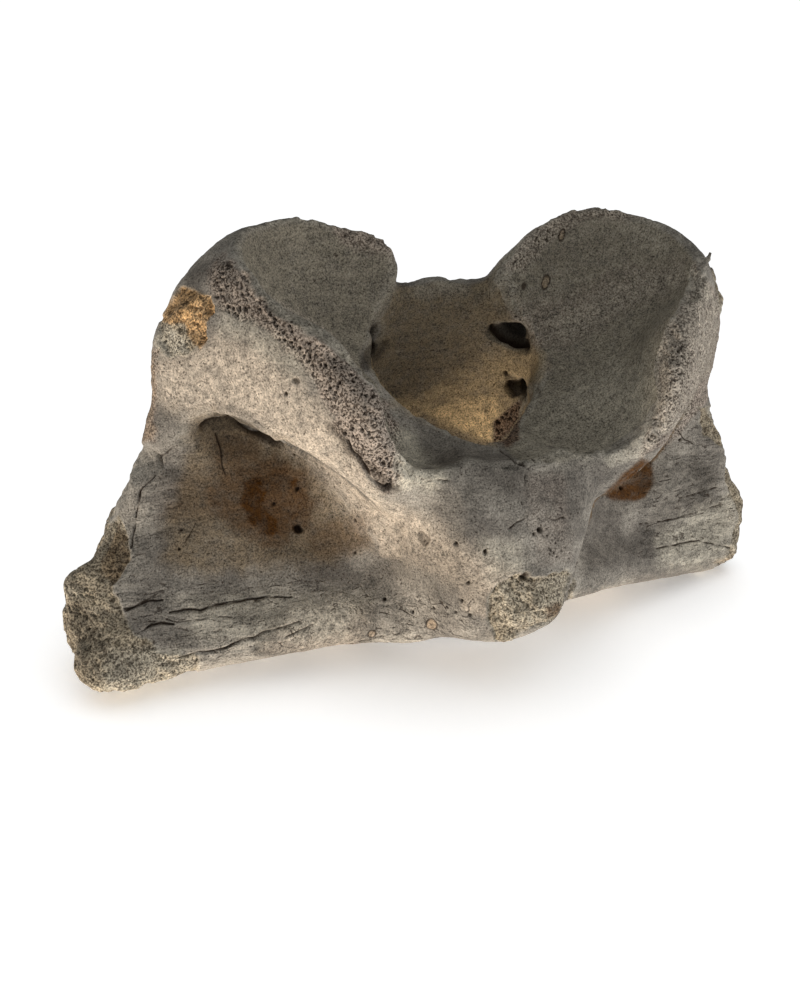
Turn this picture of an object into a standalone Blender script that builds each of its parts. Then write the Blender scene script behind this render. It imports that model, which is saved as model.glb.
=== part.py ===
"""Cow atlas vertebra, the first neck bone, dry and weathered.

The bone stands on its caudal end. +X is the animal's left, +Y its dorsal side and +Z the
cranial end, where the two cups for the skull open. It is modelled about its midline, with
lengths in millimetres, and is then set with its origin under the middle of its box.

Each mass is the skin drawn tight over a few balls, given as x, y, z and radius.
"""
import bpy
import bmesh
from mathutils import Matrix, Vector

MM = 0.001

# Fineness of the finished mesh
BALL_DETAIL = 2
CANAL_DETAIL = 4
HOLLOW_DETAIL = 5
FUSE_VOXEL = 1.3
FUSE_SMOOTHING = 16
FINISH_VOXEL = 1.1
FINISH_SMOOTHING = 3
SMOOTHING_FACTOR = 0.5
TRIANGLES = 11400

# Colour and finish of the bone
BONE_COLOUR = (0.36, 0.31, 0.24, 1)
BONE_ROUGHNESS = 0.85

# Canal for the spinal cord, narrow at its waist and wider towards both ends
CANAL_WAIST = [(0, -1.5, 43, 3.5), (-7, 16.5, 45, 11), (7, 16.5, 45, 11)]
CANAL_CAUDAL = [(0, 14, -20, 20), (-4, 14, 5, 18), (4, 14, 5, 18)]
CANAL_CRANIAL = [(0, -3, 82, 5), (-4, 7.5, 76, 13), (4, 7.5, 76, 13)]

# Ventral arch across the midline, its left half and its middle
VENTRAL_ARCH = [
    (0, -12, 43, 4.5), (0, -18, 36, 6), (0, -21, 24, 7), (0, -16.5, 14.5, 6), (0, -5, 12, 8),
    (0, -6, 38, 7), (12, -13.5, 43.5, 5), (10, -3, 47, 4.5), (10, -17, 36, 6), (12, -8, 27, 7),
    (12, -7, 13.5, 6.5), (6, -18, 17, 6),
]

# Masses that both sides have, given on the left
PAIRED_MASSES = {
    # Block that carries the cup for the skull
    "lateral_mass": [
        (54, 14, 46, 6), (54, 14, 60, 6), (50, 14, 70, 5), (43, 16.5, 75.5, 5),
        (31, 21, 76.5, 5), (20, 22.5, 73.5, 4.5), (14, 23.5, 68.5, 4), (43, 4, 74.5, 4),
        (37.5, -7, 67, 4), (28.5, -15.5, 59, 4.5), (25.5, -16.5, 50.5, 4.5), (30, -10, 45, 5),
        (40, 28, 52, 8), (24, 28, 58, 7), (36, 20, 36, 10), (14, 13, 56, 4), (12, 4, 48.5, 4),
    ],
    # Middle of the bone, between cup and caudal facet
    "side_block": [
        (22, -1, 38, 9), (28, 14, 38, 12), (24, 22, 50, 8), (18, -2, 48, 6), (16, 3, 13, 8),
        (30, 12, 12, 9), (28, 24, 12, 7), (24, 24, 40, 9),
    ],
    # Bridge from the ventral arch to the lip of the cup
    "bridge": [(25.5, -15.5, 49, 4.5), (14, -14, 44.5, 4), (26, -12, 41, 5), (14, -10, 38, 5)],
    # Wing from its root to its lateral border
    "wing_plate": [
        (57, 14, 43, 4), (67, 13.5, 22, 4.5), (67, 12, 12, 5), (28, 14, 20, 7),
        (30, 16, 40, 6), (50, 16, 45, 5),
    ],
    # Slope from the wing to its caudal band
    "wing_slope": [
        (60, 11, 18, 6), (40, 7, 18, 6), (25, 4, 20, 6), (24, 4, 30, 6), (44, 14, 30, 5),
        (58, 13, 26, 5),
    ],
    # Thick lateral border of the wing
    "wing_margin": [(57.5, 14, 41, 4), (61, 12.5, 32, 4.5), (66, 12, 22, 5), (70, 11, 12, 5.5)],
    # Joint facet for the second neck bone, and the edge that the bone stands on
    "caudal_facet": [
        (11, -10, 15, 5), (28, -3, 12, 5.5), (42, 7, 9, 6), (46, 15, 7, 5.5), (40, 23, 4.6, 5.5),
        (31, 28, 3.8, 5), (20, 25, 9, 6), (24, 10, 16, 8),
    ],
    # Dorsal arch, from the side to the midline
    "dorsal_arch_side": [(26, 25, 55, 6), (26, 26, 12, 6), (12, 28, 62, 4), (12, 32, 12, 5)],
    "dorsal_arch_middle": [(12, 28, 62, 4), (12, 32, 12, 5), (0, 26, 65, 3.5), (0, 34, 14, 5)],
}

# Masses of one side or of the midline
SINGLE_MASSES = {
    "dorsal_tubercle": [(0, 31, 52, 5), (0, 35, 36, 7), (0, 35, 26, 6), (0, 33, 18, 5)],
    "ventral_tubercle": [(2, -23, 23, 6.5), (-1, -19, 15, 5.5), (5, -22, 20, 5.5)],
    # Caudal band and face of the right wing, further ventral than the left
    "right_band": [
        (-22, -4, 11, 6.2), (-34, -2.4, 9.2, 6), (-48, 0, 6.9, 6), (-60, 0, 6.3, 6.5),
        (-71, 0, 6.5, 7), (-40, 6, 8, 7), (-56, 6, 10, 7), (-66, 11, 21, 4.5), (-57, 12, 30, 5),
        (-43, 11, 30, 5.5), (-31, 9, 27, 6), (-24, 6, 21, 6),
    ],
    "right_fillet": [(-14, -10, 10.8, 5), (-28, -3, 9.8, 6), (-20, -2, 17, 5)],
    "right_corner": [
        (-74, 6, 11, 6), (-71, -1, 6.4, 7), (-67, 8, 21, 5), (-62, 2, 6.2, 6.8), (-58, 8, 18, 6),
    ],
    "left_band": [
        (22, -3, 13, 6), (34, 1, 11, 6), (48, 6, 8.5, 6), (60, 10, 6.5, 6), (69, 11, 5.2, 6.5),
        (40, 8, 9, 7),
    ],
}

# Ellipsoid hollows, given on the left: radii run across, deep and along the axis.
# The fossa lies under the wing, deepest behind the bar below the cup.
FOSSAE = {
    "fossa_deep": dict(centre=(44, -3, 41), radii=(8, 16, 16), axis=(0.82, 0.38, 0.43),
                       opening=(0.45, -0.85, 0.1)),
    "fossa_wide": dict(centre=(43, -10, 35.5), radii=(14, 18, 25), axis=(0.83, 0.33, 0.44),
                       opening=(0.2, -0.95, 0.2)),
}
# The cup takes one condyle of the skull, and its end runs down to the ventral lip
CUPS = {
    "cup": dict(centre=(12.3, -3.8, 74.4), radii=(22.3, 26.1, 38.4), axis=(0.75, 0.45, 0.485),
                opening=(-0.32, -0.40, 0.86)),
    "cup_end": dict(centre=(14, -8, 60), radii=(12, 16.5, 17), axis=(0.57, -0.82, 0),
                    opening=(0, 0, 1)),
}
# Round openings for nerves and vessels, given on the left: two ends and a radius
FORAMINA = {
    "lateral_vertebral_foramen": ((8, 14, 56), (36, 42, 60), 3.3),
    "alar_foramen": ((40, 0, 46), (40, 44, 50), 3.2),
    "canal_pit": ((10, 14, 46.5), (23, 23, 44), 2.4),
}
# Soft pushes on both sides, given on the left: centre, reach and push
STROKES = {
    "hollow_outer_wall": ((33, -5, 66), 13, (-4.2, 0.4, 1.6)),
    "fill_fossa_floor": ((43.5, 4.8, 28.5), 10, (0, -1.3, 0.6)),
    "ease_wing_slope": ((45.5, -2.5, 19.5), 10, (0, 1.2, -0.6)),
}


def clear_scene():
    """Remove what the file opens with."""
    for thing in list(bpy.data.objects):
        bpy.data.objects.remove(thing, do_unlink=True)


def collection(name):
    """Return a new collection linked to the scene."""
    made = bpy.data.collections.new(name)
    bpy.context.scene.collection.children.link(made)
    return made


def object_from(bm, name, home):
    """Turn a bmesh into an object in the collection home."""
    bmesh.ops.recalc_face_normals(bm, faces=bm.faces)
    mesh = bpy.data.meshes.new(name)
    bm.to_mesh(mesh)
    bm.free()
    made = bpy.data.objects.new(name, mesh)
    home.objects.link(made)
    return made


def mirrored(balls):
    """Return the same balls on the other side of the midline."""
    return [(-x, y, z, r) for x, y, z, r in balls]


def ball_hull(name, balls, home, detail=BALL_DETAIL):
    """Return the convex skin drawn tight over balls given as x, y, z, radius."""
    bm = bmesh.new()
    for x, y, z, r in balls:
        place = Matrix.Translation(Vector((x, y, z)) * MM)
        bmesh.ops.create_icosphere(bm, subdivisions=detail, radius=r * MM, matrix=place)
    bmesh.ops.delete(bm, geom=list(bm.edges), context="EDGES_FACES")
    bmesh.ops.convex_hull(bm, input=list(bm.verts))
    bmesh.ops.delete(bm, geom=[v for v in bm.verts if not v.link_faces], context="VERTS")
    return object_from(bm, name, home)


def hollow(name, side, centre, radii, axis, opening, home):
    """Return an ellipsoid cutter, long along its axis and deep against its opening."""
    flip = Vector((side, 1, 1))
    along = (Vector(axis) * flip).normalized()
    out = Vector(opening) * flip
    out = (out - along * out.dot(along)).normalized()
    turn = Matrix((out.cross(along), out, along)).transposed()
    size = Matrix.Diagonal((*[r * MM for r in radii], 1.0))
    place = Matrix.Translation(Vector(centre) * flip * MM) @ turn.to_4x4() @ size
    bm = bmesh.new()
    bmesh.ops.create_icosphere(bm, subdivisions=HOLLOW_DETAIL, radius=1.0, matrix=place)
    return object_from(bm, f"{name}_{side}", home)


def apply_modifiers(target):
    """Replace an object's mesh by its evaluated mesh and drop its modifiers."""
    bpy.context.view_layer.update()
    graph = bpy.context.evaluated_depsgraph_get()
    mesh = bpy.data.meshes.new_from_object(target.evaluated_get(graph))
    old = target.data
    target.modifiers.clear()
    target.data = mesh
    bpy.data.meshes.remove(old)


def boolean(target, home, operation):
    """Join or cut target with all objects of a collection, then remove them."""
    step = target.modifiers.new(operation, "BOOLEAN")
    step.operand_type = "COLLECTION"
    step.collection = home
    step.operation = operation
    step.solver = "EXACT"
    apply_modifiers(target)
    for thing in list(home.objects):
        bpy.data.objects.remove(thing, do_unlink=True)
    bpy.data.collections.remove(home)


def even_out(target, voxel, rounds):
    """Remesh evenly and soften."""
    step = target.modifiers.new("even", "REMESH")
    step.mode = "VOXEL"
    step.voxel_size = voxel * MM
    step = target.modifiers.new("soften", "SMOOTH")
    step.factor = SMOOTHING_FACTOR
    step.iterations = rounds
    apply_modifiers(target)


def stroke(target, centre, reach, push):
    """Push the surface near a point of each side, fading smoothly to nothing at reach."""
    for side in (1, -1):
        flip = Vector((side, 1, 1))
        middle, move = Vector(centre) * flip * MM, Vector(push) * flip * MM
        for v in target.data.vertices:
            off = (v.co - middle).length / (reach * MM)
            if off < 1:
                v.co += move * (1 - off * off) ** 2


def keep_largest(target):
    """Keep only the largest closed surface."""
    bm = bmesh.new()
    bm.from_mesh(target.data)
    seen, islands = set(), []
    for start in bm.verts:
        if start in seen:
            continue
        stack, island = [start], []
        seen.add(start)
        while stack:
            v = stack.pop()
            island.append(v)
            near = [e.other_vert(v) for e in v.link_edges]
            fresh = [w for w in near if w not in seen]
            seen.update(fresh)
            stack.extend(fresh)
        islands.append(island)
    islands.sort(key=len)
    bmesh.ops.delete(bm, geom=[v for i in islands[:-1] for v in i], context="VERTS")
    bm.to_mesh(target.data)
    bm.free()


def thin_out(target, triangles):
    """Collapse edges until about the wanted number of triangles is left."""
    count = sum(len(p.vertices) - 2 for p in target.data.polygons)
    step = target.modifiers.new("thin", "DECIMATE")
    step.ratio = min(1.0, triangles / count)
    step.use_collapse_triangulate = True
    apply_modifiers(target)


def stand(target):
    """Slice the resting points flat and put the origin under the middle of the bone."""
    bm = bmesh.new()
    bm.from_mesh(target.data)
    everything = list(bm.verts) + list(bm.edges) + list(bm.faces)
    cut = bmesh.ops.bisect_plane(bm, geom=everything, plane_co=(0, 0, 0), plane_no=(0, 0, -1),
                                 clear_outer=True)
    rim = [e for e in cut["geom_cut"] if isinstance(e, bmesh.types.BMEdge)]
    bmesh.ops.holes_fill(bm, edges=rim)
    bmesh.ops.triangulate(bm, faces=[f for f in bm.faces if len(f.verts) > 3])
    low = Vector([min(v.co[i] for v in bm.verts) for i in range(3)])
    high = Vector([max(v.co[i] for v in bm.verts) for i in range(3)])
    middle = (low + high) / 2
    bmesh.ops.translate(bm, verts=bm.verts, vec=(-middle.x, -middle.y, 0))
    bm.to_mesh(target.data)
    bm.free()


def bone_material():
    """Return weathered bone, grey beige and matt."""
    made = bpy.data.materials.new("weathered_bone")
    made.use_nodes = True
    shader = made.node_tree.nodes["Principled BSDF"]
    shader.inputs["Base Color"].default_value = BONE_COLOUR
    shader.inputs["Roughness"].default_value = BONE_ROUGHNESS
    shader.inputs["Metallic"].default_value = 0.0
    return made


def add_masses(home):
    """Add every mass of the bone to the collection home."""
    for name, balls in PAIRED_MASSES.items():
        ball_hull(f"{name}_left", balls, home)
        ball_hull(f"{name}_right", mirrored(balls), home)
    for name, balls in SINGLE_MASSES.items():
        ball_hull(name, balls, home)


def add_hollows(shapes, home):
    """Add both sides of some ellipsoid hollows to the collection home."""
    for name, shape in shapes.items():
        for side in (1, -1):
            hollow(name, side, home=home, **shape)


def add_passages(home):
    """Add the cutters of the canal and of the round openings to the collection home."""
    ball_hull("canal_caudal", CANAL_WAIST + CANAL_CAUDAL, home, CANAL_DETAIL)
    ball_hull("canal_cranial", CANAL_WAIST + CANAL_CRANIAL, home, CANAL_DETAIL)
    for name, (near, far, radius) in FORAMINA.items():
        for side in (1, -1):
            ends = [(side * x, y, z, radius) for x, y, z in (near, far)]
            ball_hull(f"{name}_{side}", ends, home)


def build():
    """Model the atlas as one solid."""
    clear_scene()
    bone = collection("cow_atlas")
    atlas = ball_hull("atlas", VENTRAL_ARCH + mirrored(VENTRAL_ARCH), bone)
    masses = collection("masses")
    add_masses(masses)
    boolean(atlas, masses, "UNION")
    fossae = collection("fossae")
    add_hollows(FOSSAE, fossae)
    boolean(atlas, fossae, "DIFFERENCE")
    even_out(atlas, FUSE_VOXEL, FUSE_SMOOTHING)

    hollows = collection("hollows")
    add_hollows(CUPS, hollows)
    add_passages(hollows)
    boolean(atlas, hollows, "DIFFERENCE")
    even_out(atlas, FINISH_VOXEL, FINISH_SMOOTHING)
    keep_largest(atlas)
    for centre, reach, push in STROKES.values():
        stroke(atlas, centre, reach, push)
    thin_out(atlas, TRIANGLES)
    stand(atlas)
    keep_largest(atlas)

    atlas.data.shade_smooth()
    atlas.data.materials.clear()
    atlas.data.materials.append(bone_material())


build()
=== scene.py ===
"""Cow atlas vertebra, dry and weathered, standing on its caudal end on a pale floor.

The bone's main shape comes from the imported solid. Its copy is refined here, and its surface gets
the pores, pits, cracks, chips and spongy margins of old bone, with a finish to match.

Lengths are metres in the frame of the solid: +X the animal's left, +Y dorsal, +Z cranial. Marks
that were read off the photograph are given in its pixels, 800 wide and 1000 high, and are carried
along the camera's rays onto the bone.
"""
import logging
import math
from dataclasses import dataclass, field
from enum import Enum

import bmesh
import bpy
import numpy as np
from mathutils import Matrix, Vector
from mathutils.bvhtree import BVHTree

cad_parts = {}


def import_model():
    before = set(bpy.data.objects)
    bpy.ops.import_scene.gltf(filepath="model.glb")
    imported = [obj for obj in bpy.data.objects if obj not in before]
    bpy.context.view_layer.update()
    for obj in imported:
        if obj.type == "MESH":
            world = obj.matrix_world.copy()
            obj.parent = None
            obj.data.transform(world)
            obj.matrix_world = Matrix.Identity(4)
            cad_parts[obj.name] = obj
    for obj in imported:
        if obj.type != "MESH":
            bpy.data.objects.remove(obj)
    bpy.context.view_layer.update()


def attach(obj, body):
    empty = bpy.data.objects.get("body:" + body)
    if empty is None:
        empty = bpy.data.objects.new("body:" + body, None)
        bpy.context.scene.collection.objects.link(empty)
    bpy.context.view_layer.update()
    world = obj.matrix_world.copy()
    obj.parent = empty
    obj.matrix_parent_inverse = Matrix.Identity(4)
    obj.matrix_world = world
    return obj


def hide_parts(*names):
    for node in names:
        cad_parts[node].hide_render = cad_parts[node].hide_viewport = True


MM = 0.001
BODY = "root"
NODE = "atlas"
WHOLE_NORMAL = "whole_normal"
CAP = 1
MIDLINE = (2.3318 * MM, -6.3809 * MM, 0.0)
BAR_GRAIN = (0.78, -0.24, -0.58)
MIRROR = np.array([-1.0, 1.0, 1.0])
WHITE = (1.0, 1.0, 1.0)
FAINT = 0.02
TRACE = 0.01
log = logging.getLogger("atlas")

Pixel = tuple[float, float]
Path = tuple[float, ...]
Triple = tuple[float, float, float]
Colour = tuple[float, float, float]
Value = bpy.types.NodeSocket | float | Triple


# Meshes, arrays and noise


def add_object(name: str, data: bpy.types.ID) -> bpy.types.Object:
    """Add an object with its data to the scene and return it."""
    made = bpy.data.objects.new(name, data)
    bpy.context.scene.collection.objects.link(made)
    return made


def finished_mesh(thing: bpy.types.Object) -> bpy.types.Mesh:
    """Return a new mesh with the object's modifiers applied."""
    bpy.context.view_layer.update()
    graph = bpy.context.evaluated_depsgraph_get()
    return bpy.data.meshes.new_from_object(thing.evaluated_get(graph))


def read(items: bpy.types.bpy_prop_collection, name: str, width: int = 1,
         kind: type = np.float32) -> np.ndarray:
    """Return one number of each item, or a row of several numbers, as an array.

    Args:
        items: the vertices, faces or other items of a mesh.
        name: what is read of each.
        width: how many numbers each item has.
        kind: the numbers' type.
    """
    values = np.empty(len(items) * width, kind)
    items.foreach_get(name, values)
    return values.reshape(-1, width) if width > 1 else values


def fade(low: float, high: float, values: np.ndarray) -> np.ndarray:
    """Return a smooth step: 0 at low, 1 at high, three t squared less two t cubed between."""
    t = np.clip((values - low) / (high - low), 0.0, 1.0)
    return t * t * (3.0 - 2.0 * t)


def scatter(cells: np.ndarray, seed: int) -> np.ndarray:
    """Return a repeatable number from 0 to 1 for each lattice cell.

    The three whole numbers of a cell, each times a large odd number, are joined by
    exclusive or, and the result is mixed by shifts and one more product.

    Args:
        cells: whole numbers, three for each cell.
        seed: the seed.
    """
    big = cells.astype(np.int64)
    mixed = (big[..., 0] * 73856093) ^ (big[..., 1] * 19349663) ^ (big[..., 2] * 83492791)
    mixed = (mixed ^ (seed * 40503)) & 0xFFFFFFFF
    mixed = ((mixed ^ (mixed >> 15)) * 2246822519) & 0xFFFFFFFF
    mixed = ((mixed ^ (mixed >> 13)) * 3266489917) & 0xFFFFFFFF
    mixed = mixed ^ (mixed >> 16)
    return mixed / 0xFFFFFFFF


def value_noise(points: np.ndarray, size: float, seed: int) -> np.ndarray:
    """Return smooth noise from -1 to 1 with features of about the given size.

    Each lattice corner holds a random value, and a point takes the blend of its cell's
    eight corners by the smooth step of its place in the cell.

    Args:
        points: places, in metres.
        size: the features' size, in metres.
        seed: the seed.
    """
    scaled = points / size
    cell = np.floor(scaled)
    part = scaled - cell
    part = part * part * (3.0 - 2.0 * part)
    total = np.zeros(len(points))
    for dx in (0, 1):
        wx = part[:, 0] if dx else 1.0 - part[:, 0]
        for dy in (0, 1):
            wy = part[:, 1] if dy else 1.0 - part[:, 1]
            for dz in (0, 1):
                wz = part[:, 2] if dz else 1.0 - part[:, 2]
                total += wx * wy * wz * scatter(cell + (dx, dy, dz), seed)
    return 2.0 * total - 1.0


def fractal(points: np.ndarray, size: float, octaves: int, seed: int) -> np.ndarray:
    """Return layers of value noise, each half as large and half as strong as the last.

    Args:
        points: places, in metres.
        size: the largest features' size, in metres.
        octaves: how many layers.
        seed: the seed.

    Returns:
        One number for each point, from about -1 to 1.
    """
    total, strength, norm = np.zeros(len(points)), 1.0, 0.0
    for layer in range(octaves):
        total += strength * value_noise(points, size / 2 ** layer, seed + 17 * layer)
        norm += strength
        strength *= 0.5
    return total / norm


@dataclass(frozen=True)
class Noise:
    """Layered noise: its largest features' size, in millimetres, its layers and its seed."""

    size: float
    layers: int
    seed: int

    def at(self, points: np.ndarray, more: int = 0) -> np.ndarray:
        """Return the noise at some points, from about -1 to 1, with more added to the seed."""
        return fractal(points, self.size * MM, self.layers, self.seed + more)

    def rows(self, points: np.ndarray) -> np.ndarray:
        """Return three such noises side by side, one for each axis."""
        return np.stack([self.at(points, k) for k in range(3)], -1)


def cell_distance(points: np.ndarray, size: float, seed: int) -> np.ndarray:
    """Return the distance to the nearest of scattered seeds, one in each cell, in cell sizes.

    A cell's seed sits at a random place in it, and the 27 cells round a point are tried.

    Args:
        points: places, in metres.
        size: the cells' size, in metres.
        seed: the seed.
    """
    scaled = points / size
    cell = np.floor(scaled)
    nearest = np.full(len(points), 9.0)
    for dx in (-1, 0, 1):
        for dy in (-1, 0, 1):
            for dz in (-1, 0, 1):
                other = cell + (dx, dy, dz)
                place = np.stack([scatter(other, seed + k) for k in (1, 2, 3)], -1)
                gap = other + place - scaled
                nearest = np.minimum(nearest, np.einsum("ij,ij->i", gap, gap))
    return np.sqrt(nearest)


def line_distance(points: np.ndarray, line: np.ndarray) -> np.ndarray:
    """Return each point's distance to a polyline: the least of its distances to the segments.

    Args:
        points: places, in two or three dimensions.
        line: the polyline's own points.
    """
    best = np.full(len(points), np.inf)
    for start, end in zip(line[:-1], line[1:]):
        along = end - start
        share = np.clip((points - start) @ along / max(along @ along, 1e-18), 0.0, 1.0)
        gap = points - start - share[:, None] * along
        best = np.minimum(best, np.einsum("ij,ij->i", gap, gap))
    return np.sqrt(best)


def ring_depth(pixels: np.ndarray, ring: np.ndarray) -> np.ndarray:
    """Return how deep points lie inside a ring: their distance to it, negative outside.

    A point is inside where a level line from it to the right crosses the ring an odd number
    of times.

    Args:
        pixels: the points, in pixels.
        ring: the ring's corners, in pixels.

    Returns:
        One depth for each point, in pixels.
    """
    inside = np.zeros(len(pixels), bool)
    closed = np.vstack([ring, ring[:1]])
    for start, end in zip(closed[:-1], closed[1:]):
        crosses = (start[1] > pixels[:, 1]) != (end[1] > pixels[:, 1])
        rise = end[1] - start[1] or 1.0
        at = start[0] + (pixels[:, 1] - start[1]) * (end[0] - start[0]) / rise
        inside ^= crosses & (pixels[:, 0] < at)
    return np.where(inside, 1.0, -1.0) * line_distance(pixels, closed)


# Viewpoint of the photograph


@dataclass(frozen=True)
class Viewpoint:
    """Camera at the photograph's viewing angle.

    The camera looks at a target point from a distance, turned about the vertical, dipped
    below the horizon and rolled a little. The focal length is in the photograph's pixels.
    """

    width: float = 800.0
    height: float = 1000.0
    focal: float = 1100.0
    turn: float = math.radians(22.0)
    dip: float = math.radians(27.0)
    roll: float = math.radians(4.2236)
    distance: float = 210.5835 * MM
    target: Triple = (-13.0777 * MM, -6.3809 * MM, 31.911 * MM)
    sensor: float = 36.0

    def axes(self) -> tuple[np.ndarray, np.ndarray, np.ndarray]:
        """Return the directions right, up and forward of the picture."""
        forward = np.array([math.sin(self.turn) * math.cos(self.dip),
                            math.cos(self.turn) * math.cos(self.dip), -math.sin(self.dip)])
        level = np.array([math.cos(self.turn), -math.sin(self.turn), 0.0])
        upright = np.cross(level, forward)
        c, s = math.cos(self.roll), math.sin(self.roll)
        return c * level + s * upright, -s * level + c * upright, forward

    def place(self) -> np.ndarray:
        """Return the camera's position."""
        return np.array(self.target) - self.distance * self.axes()[2]

    def ray(self, pixel: Pixel) -> np.ndarray:
        """Return the direction that a pixel looks in."""
        right, up, forward = self.axes()
        across = (pixel[0] - self.width / 2) / self.focal
        down = (pixel[1] - self.height / 2) / self.focal
        direction = forward + across * right - down * up
        return direction / np.linalg.norm(direction)

    def project(self, points: np.ndarray) -> tuple[np.ndarray, np.ndarray]:
        """Return the pixels and depths of points: their offset over their depth, times the focal.

        Returns:
            The columns and rows, and the depths in metres.
        """
        right, up, forward = self.axes()
        away = points - self.place()
        depth = away @ forward
        pixels = np.stack([self.width / 2 + self.focal * (away @ right) / depth,
                           self.height / 2 - self.focal * (away @ up) / depth], -1)
        return pixels, depth

    def make_camera(self) -> bpy.types.Object:
        """Add the camera to the scene and return it."""
        right, up, forward = self.axes()
        data = bpy.data.cameras.new("camera")
        data.sensor_width = self.sensor
        data.lens = self.focal * self.sensor / self.height
        data.clip_start, data.clip_end = 0.01, 100.0
        camera = add_object("camera", data)
        turn = Matrix((right, up, -forward)).transposed().to_4x4()
        camera.matrix_world = Matrix.Translation(Vector(self.place())) @ turn
        bpy.context.scene.camera = camera
        return camera


# Marks on the bone


class Zone(Enum):
    """Kinds of surface, each kept as an attribute that the finish reads."""

    CUP = "cup"
    CANAL = "canal"
    # Painted light: the warm glow where light shines through the canal.
    CANAL_LIGHT = "canal_light"
    FOSSA = "fossa"
    PALE = "pale"
    STAIN = "stain"
    RUST = "rust"
    SPONGY = "spongy"
    POROUS = "porous"
    FIBROUS = "fibrous"
    # Bleached bone, and painted light: lit streaks and brightened spots.
    BLEACH_AND_LIGHT = "bleach_and_light"
    # Soil, and painted shade: the shadow under the bar, the dark of holes and shaded slopes.
    SOIL_AND_SHADE = "soil_and_shade"
    EDGE = "edge"
    WEAR = "wear"
    # Grime and painted shade in hollow corners.
    GRIME_AND_SHADE = "grime_and_shade"
    # Painted shade in pits, cracks, pores and spongy cells; also the dark lines of the ring marks.
    CREVICE = "crevice"


@dataclass(frozen=True)
class Patch:
    """A patch of surface inside a ring of pixels, given as columns and rows in turn.

    The feather and the raggedness of its border are in pixels.
    """

    strength: float
    feather: float
    ragged: float
    ring: Path


@dataclass(frozen=True)
class Crack:
    """A crack through some pixels, given as columns and rows in turn.

    Its width, its depth and how far it wanders off its line are in millimetres. A depth
    below nothing makes a ridge. The tint is how dark it is.
    """

    path: Path
    width: float = 0.45
    depth: float = 0.5
    wander: float = 0.25
    # How darkly the groove is painted with shade.
    tint: float = 1.0


@dataclass(frozen=True)
class Pit:
    """A round hole at a pixel: its radius and depth, in millimetres."""

    pixel: Pixel
    radius: float
    depth: float
    # How darkly the hole is painted with shade.
    tint: float = 1.0


@dataclass(frozen=True)
class Ring:
    """A thin brown oval mark at a pixel: its radius and line width, in millimetres.

    It is narrower than it is tall by the last number.
    """

    pixel: Pixel
    radius: float
    width: float = 0.22
    narrow: float = 0.8


@dataclass(frozen=True)
class Push:
    """A soft bulge or dent at a pixel: its reach and its height, in millimetres."""

    pixel: Pixel
    reach: float
    height: float


@dataclass(frozen=True)
class Pull:
    """A soft shove of the surface round a pixel: its reach and its way, in millimetres.

    The way is given as right and up in the picture and along X, Y and Z of the bone.
    """

    pixel: Pixel
    reach: float
    right: float = 0.0
    up: float = 0.0
    way: Triple = (0.0, 0.0, 0.0)


@dataclass(frozen=True)
class Margin:
    """A spongy wing edge: its side, 1 for the animal's left, and how far it reaches in."""

    side: int
    reach: float


@dataclass(frozen=True)
class Cloud:
    """Clouds of a zone where the bone doesn't show: their noise, and from where they rise."""

    zone: Zone
    noise: Noise
    least: float
    strength: float


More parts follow.
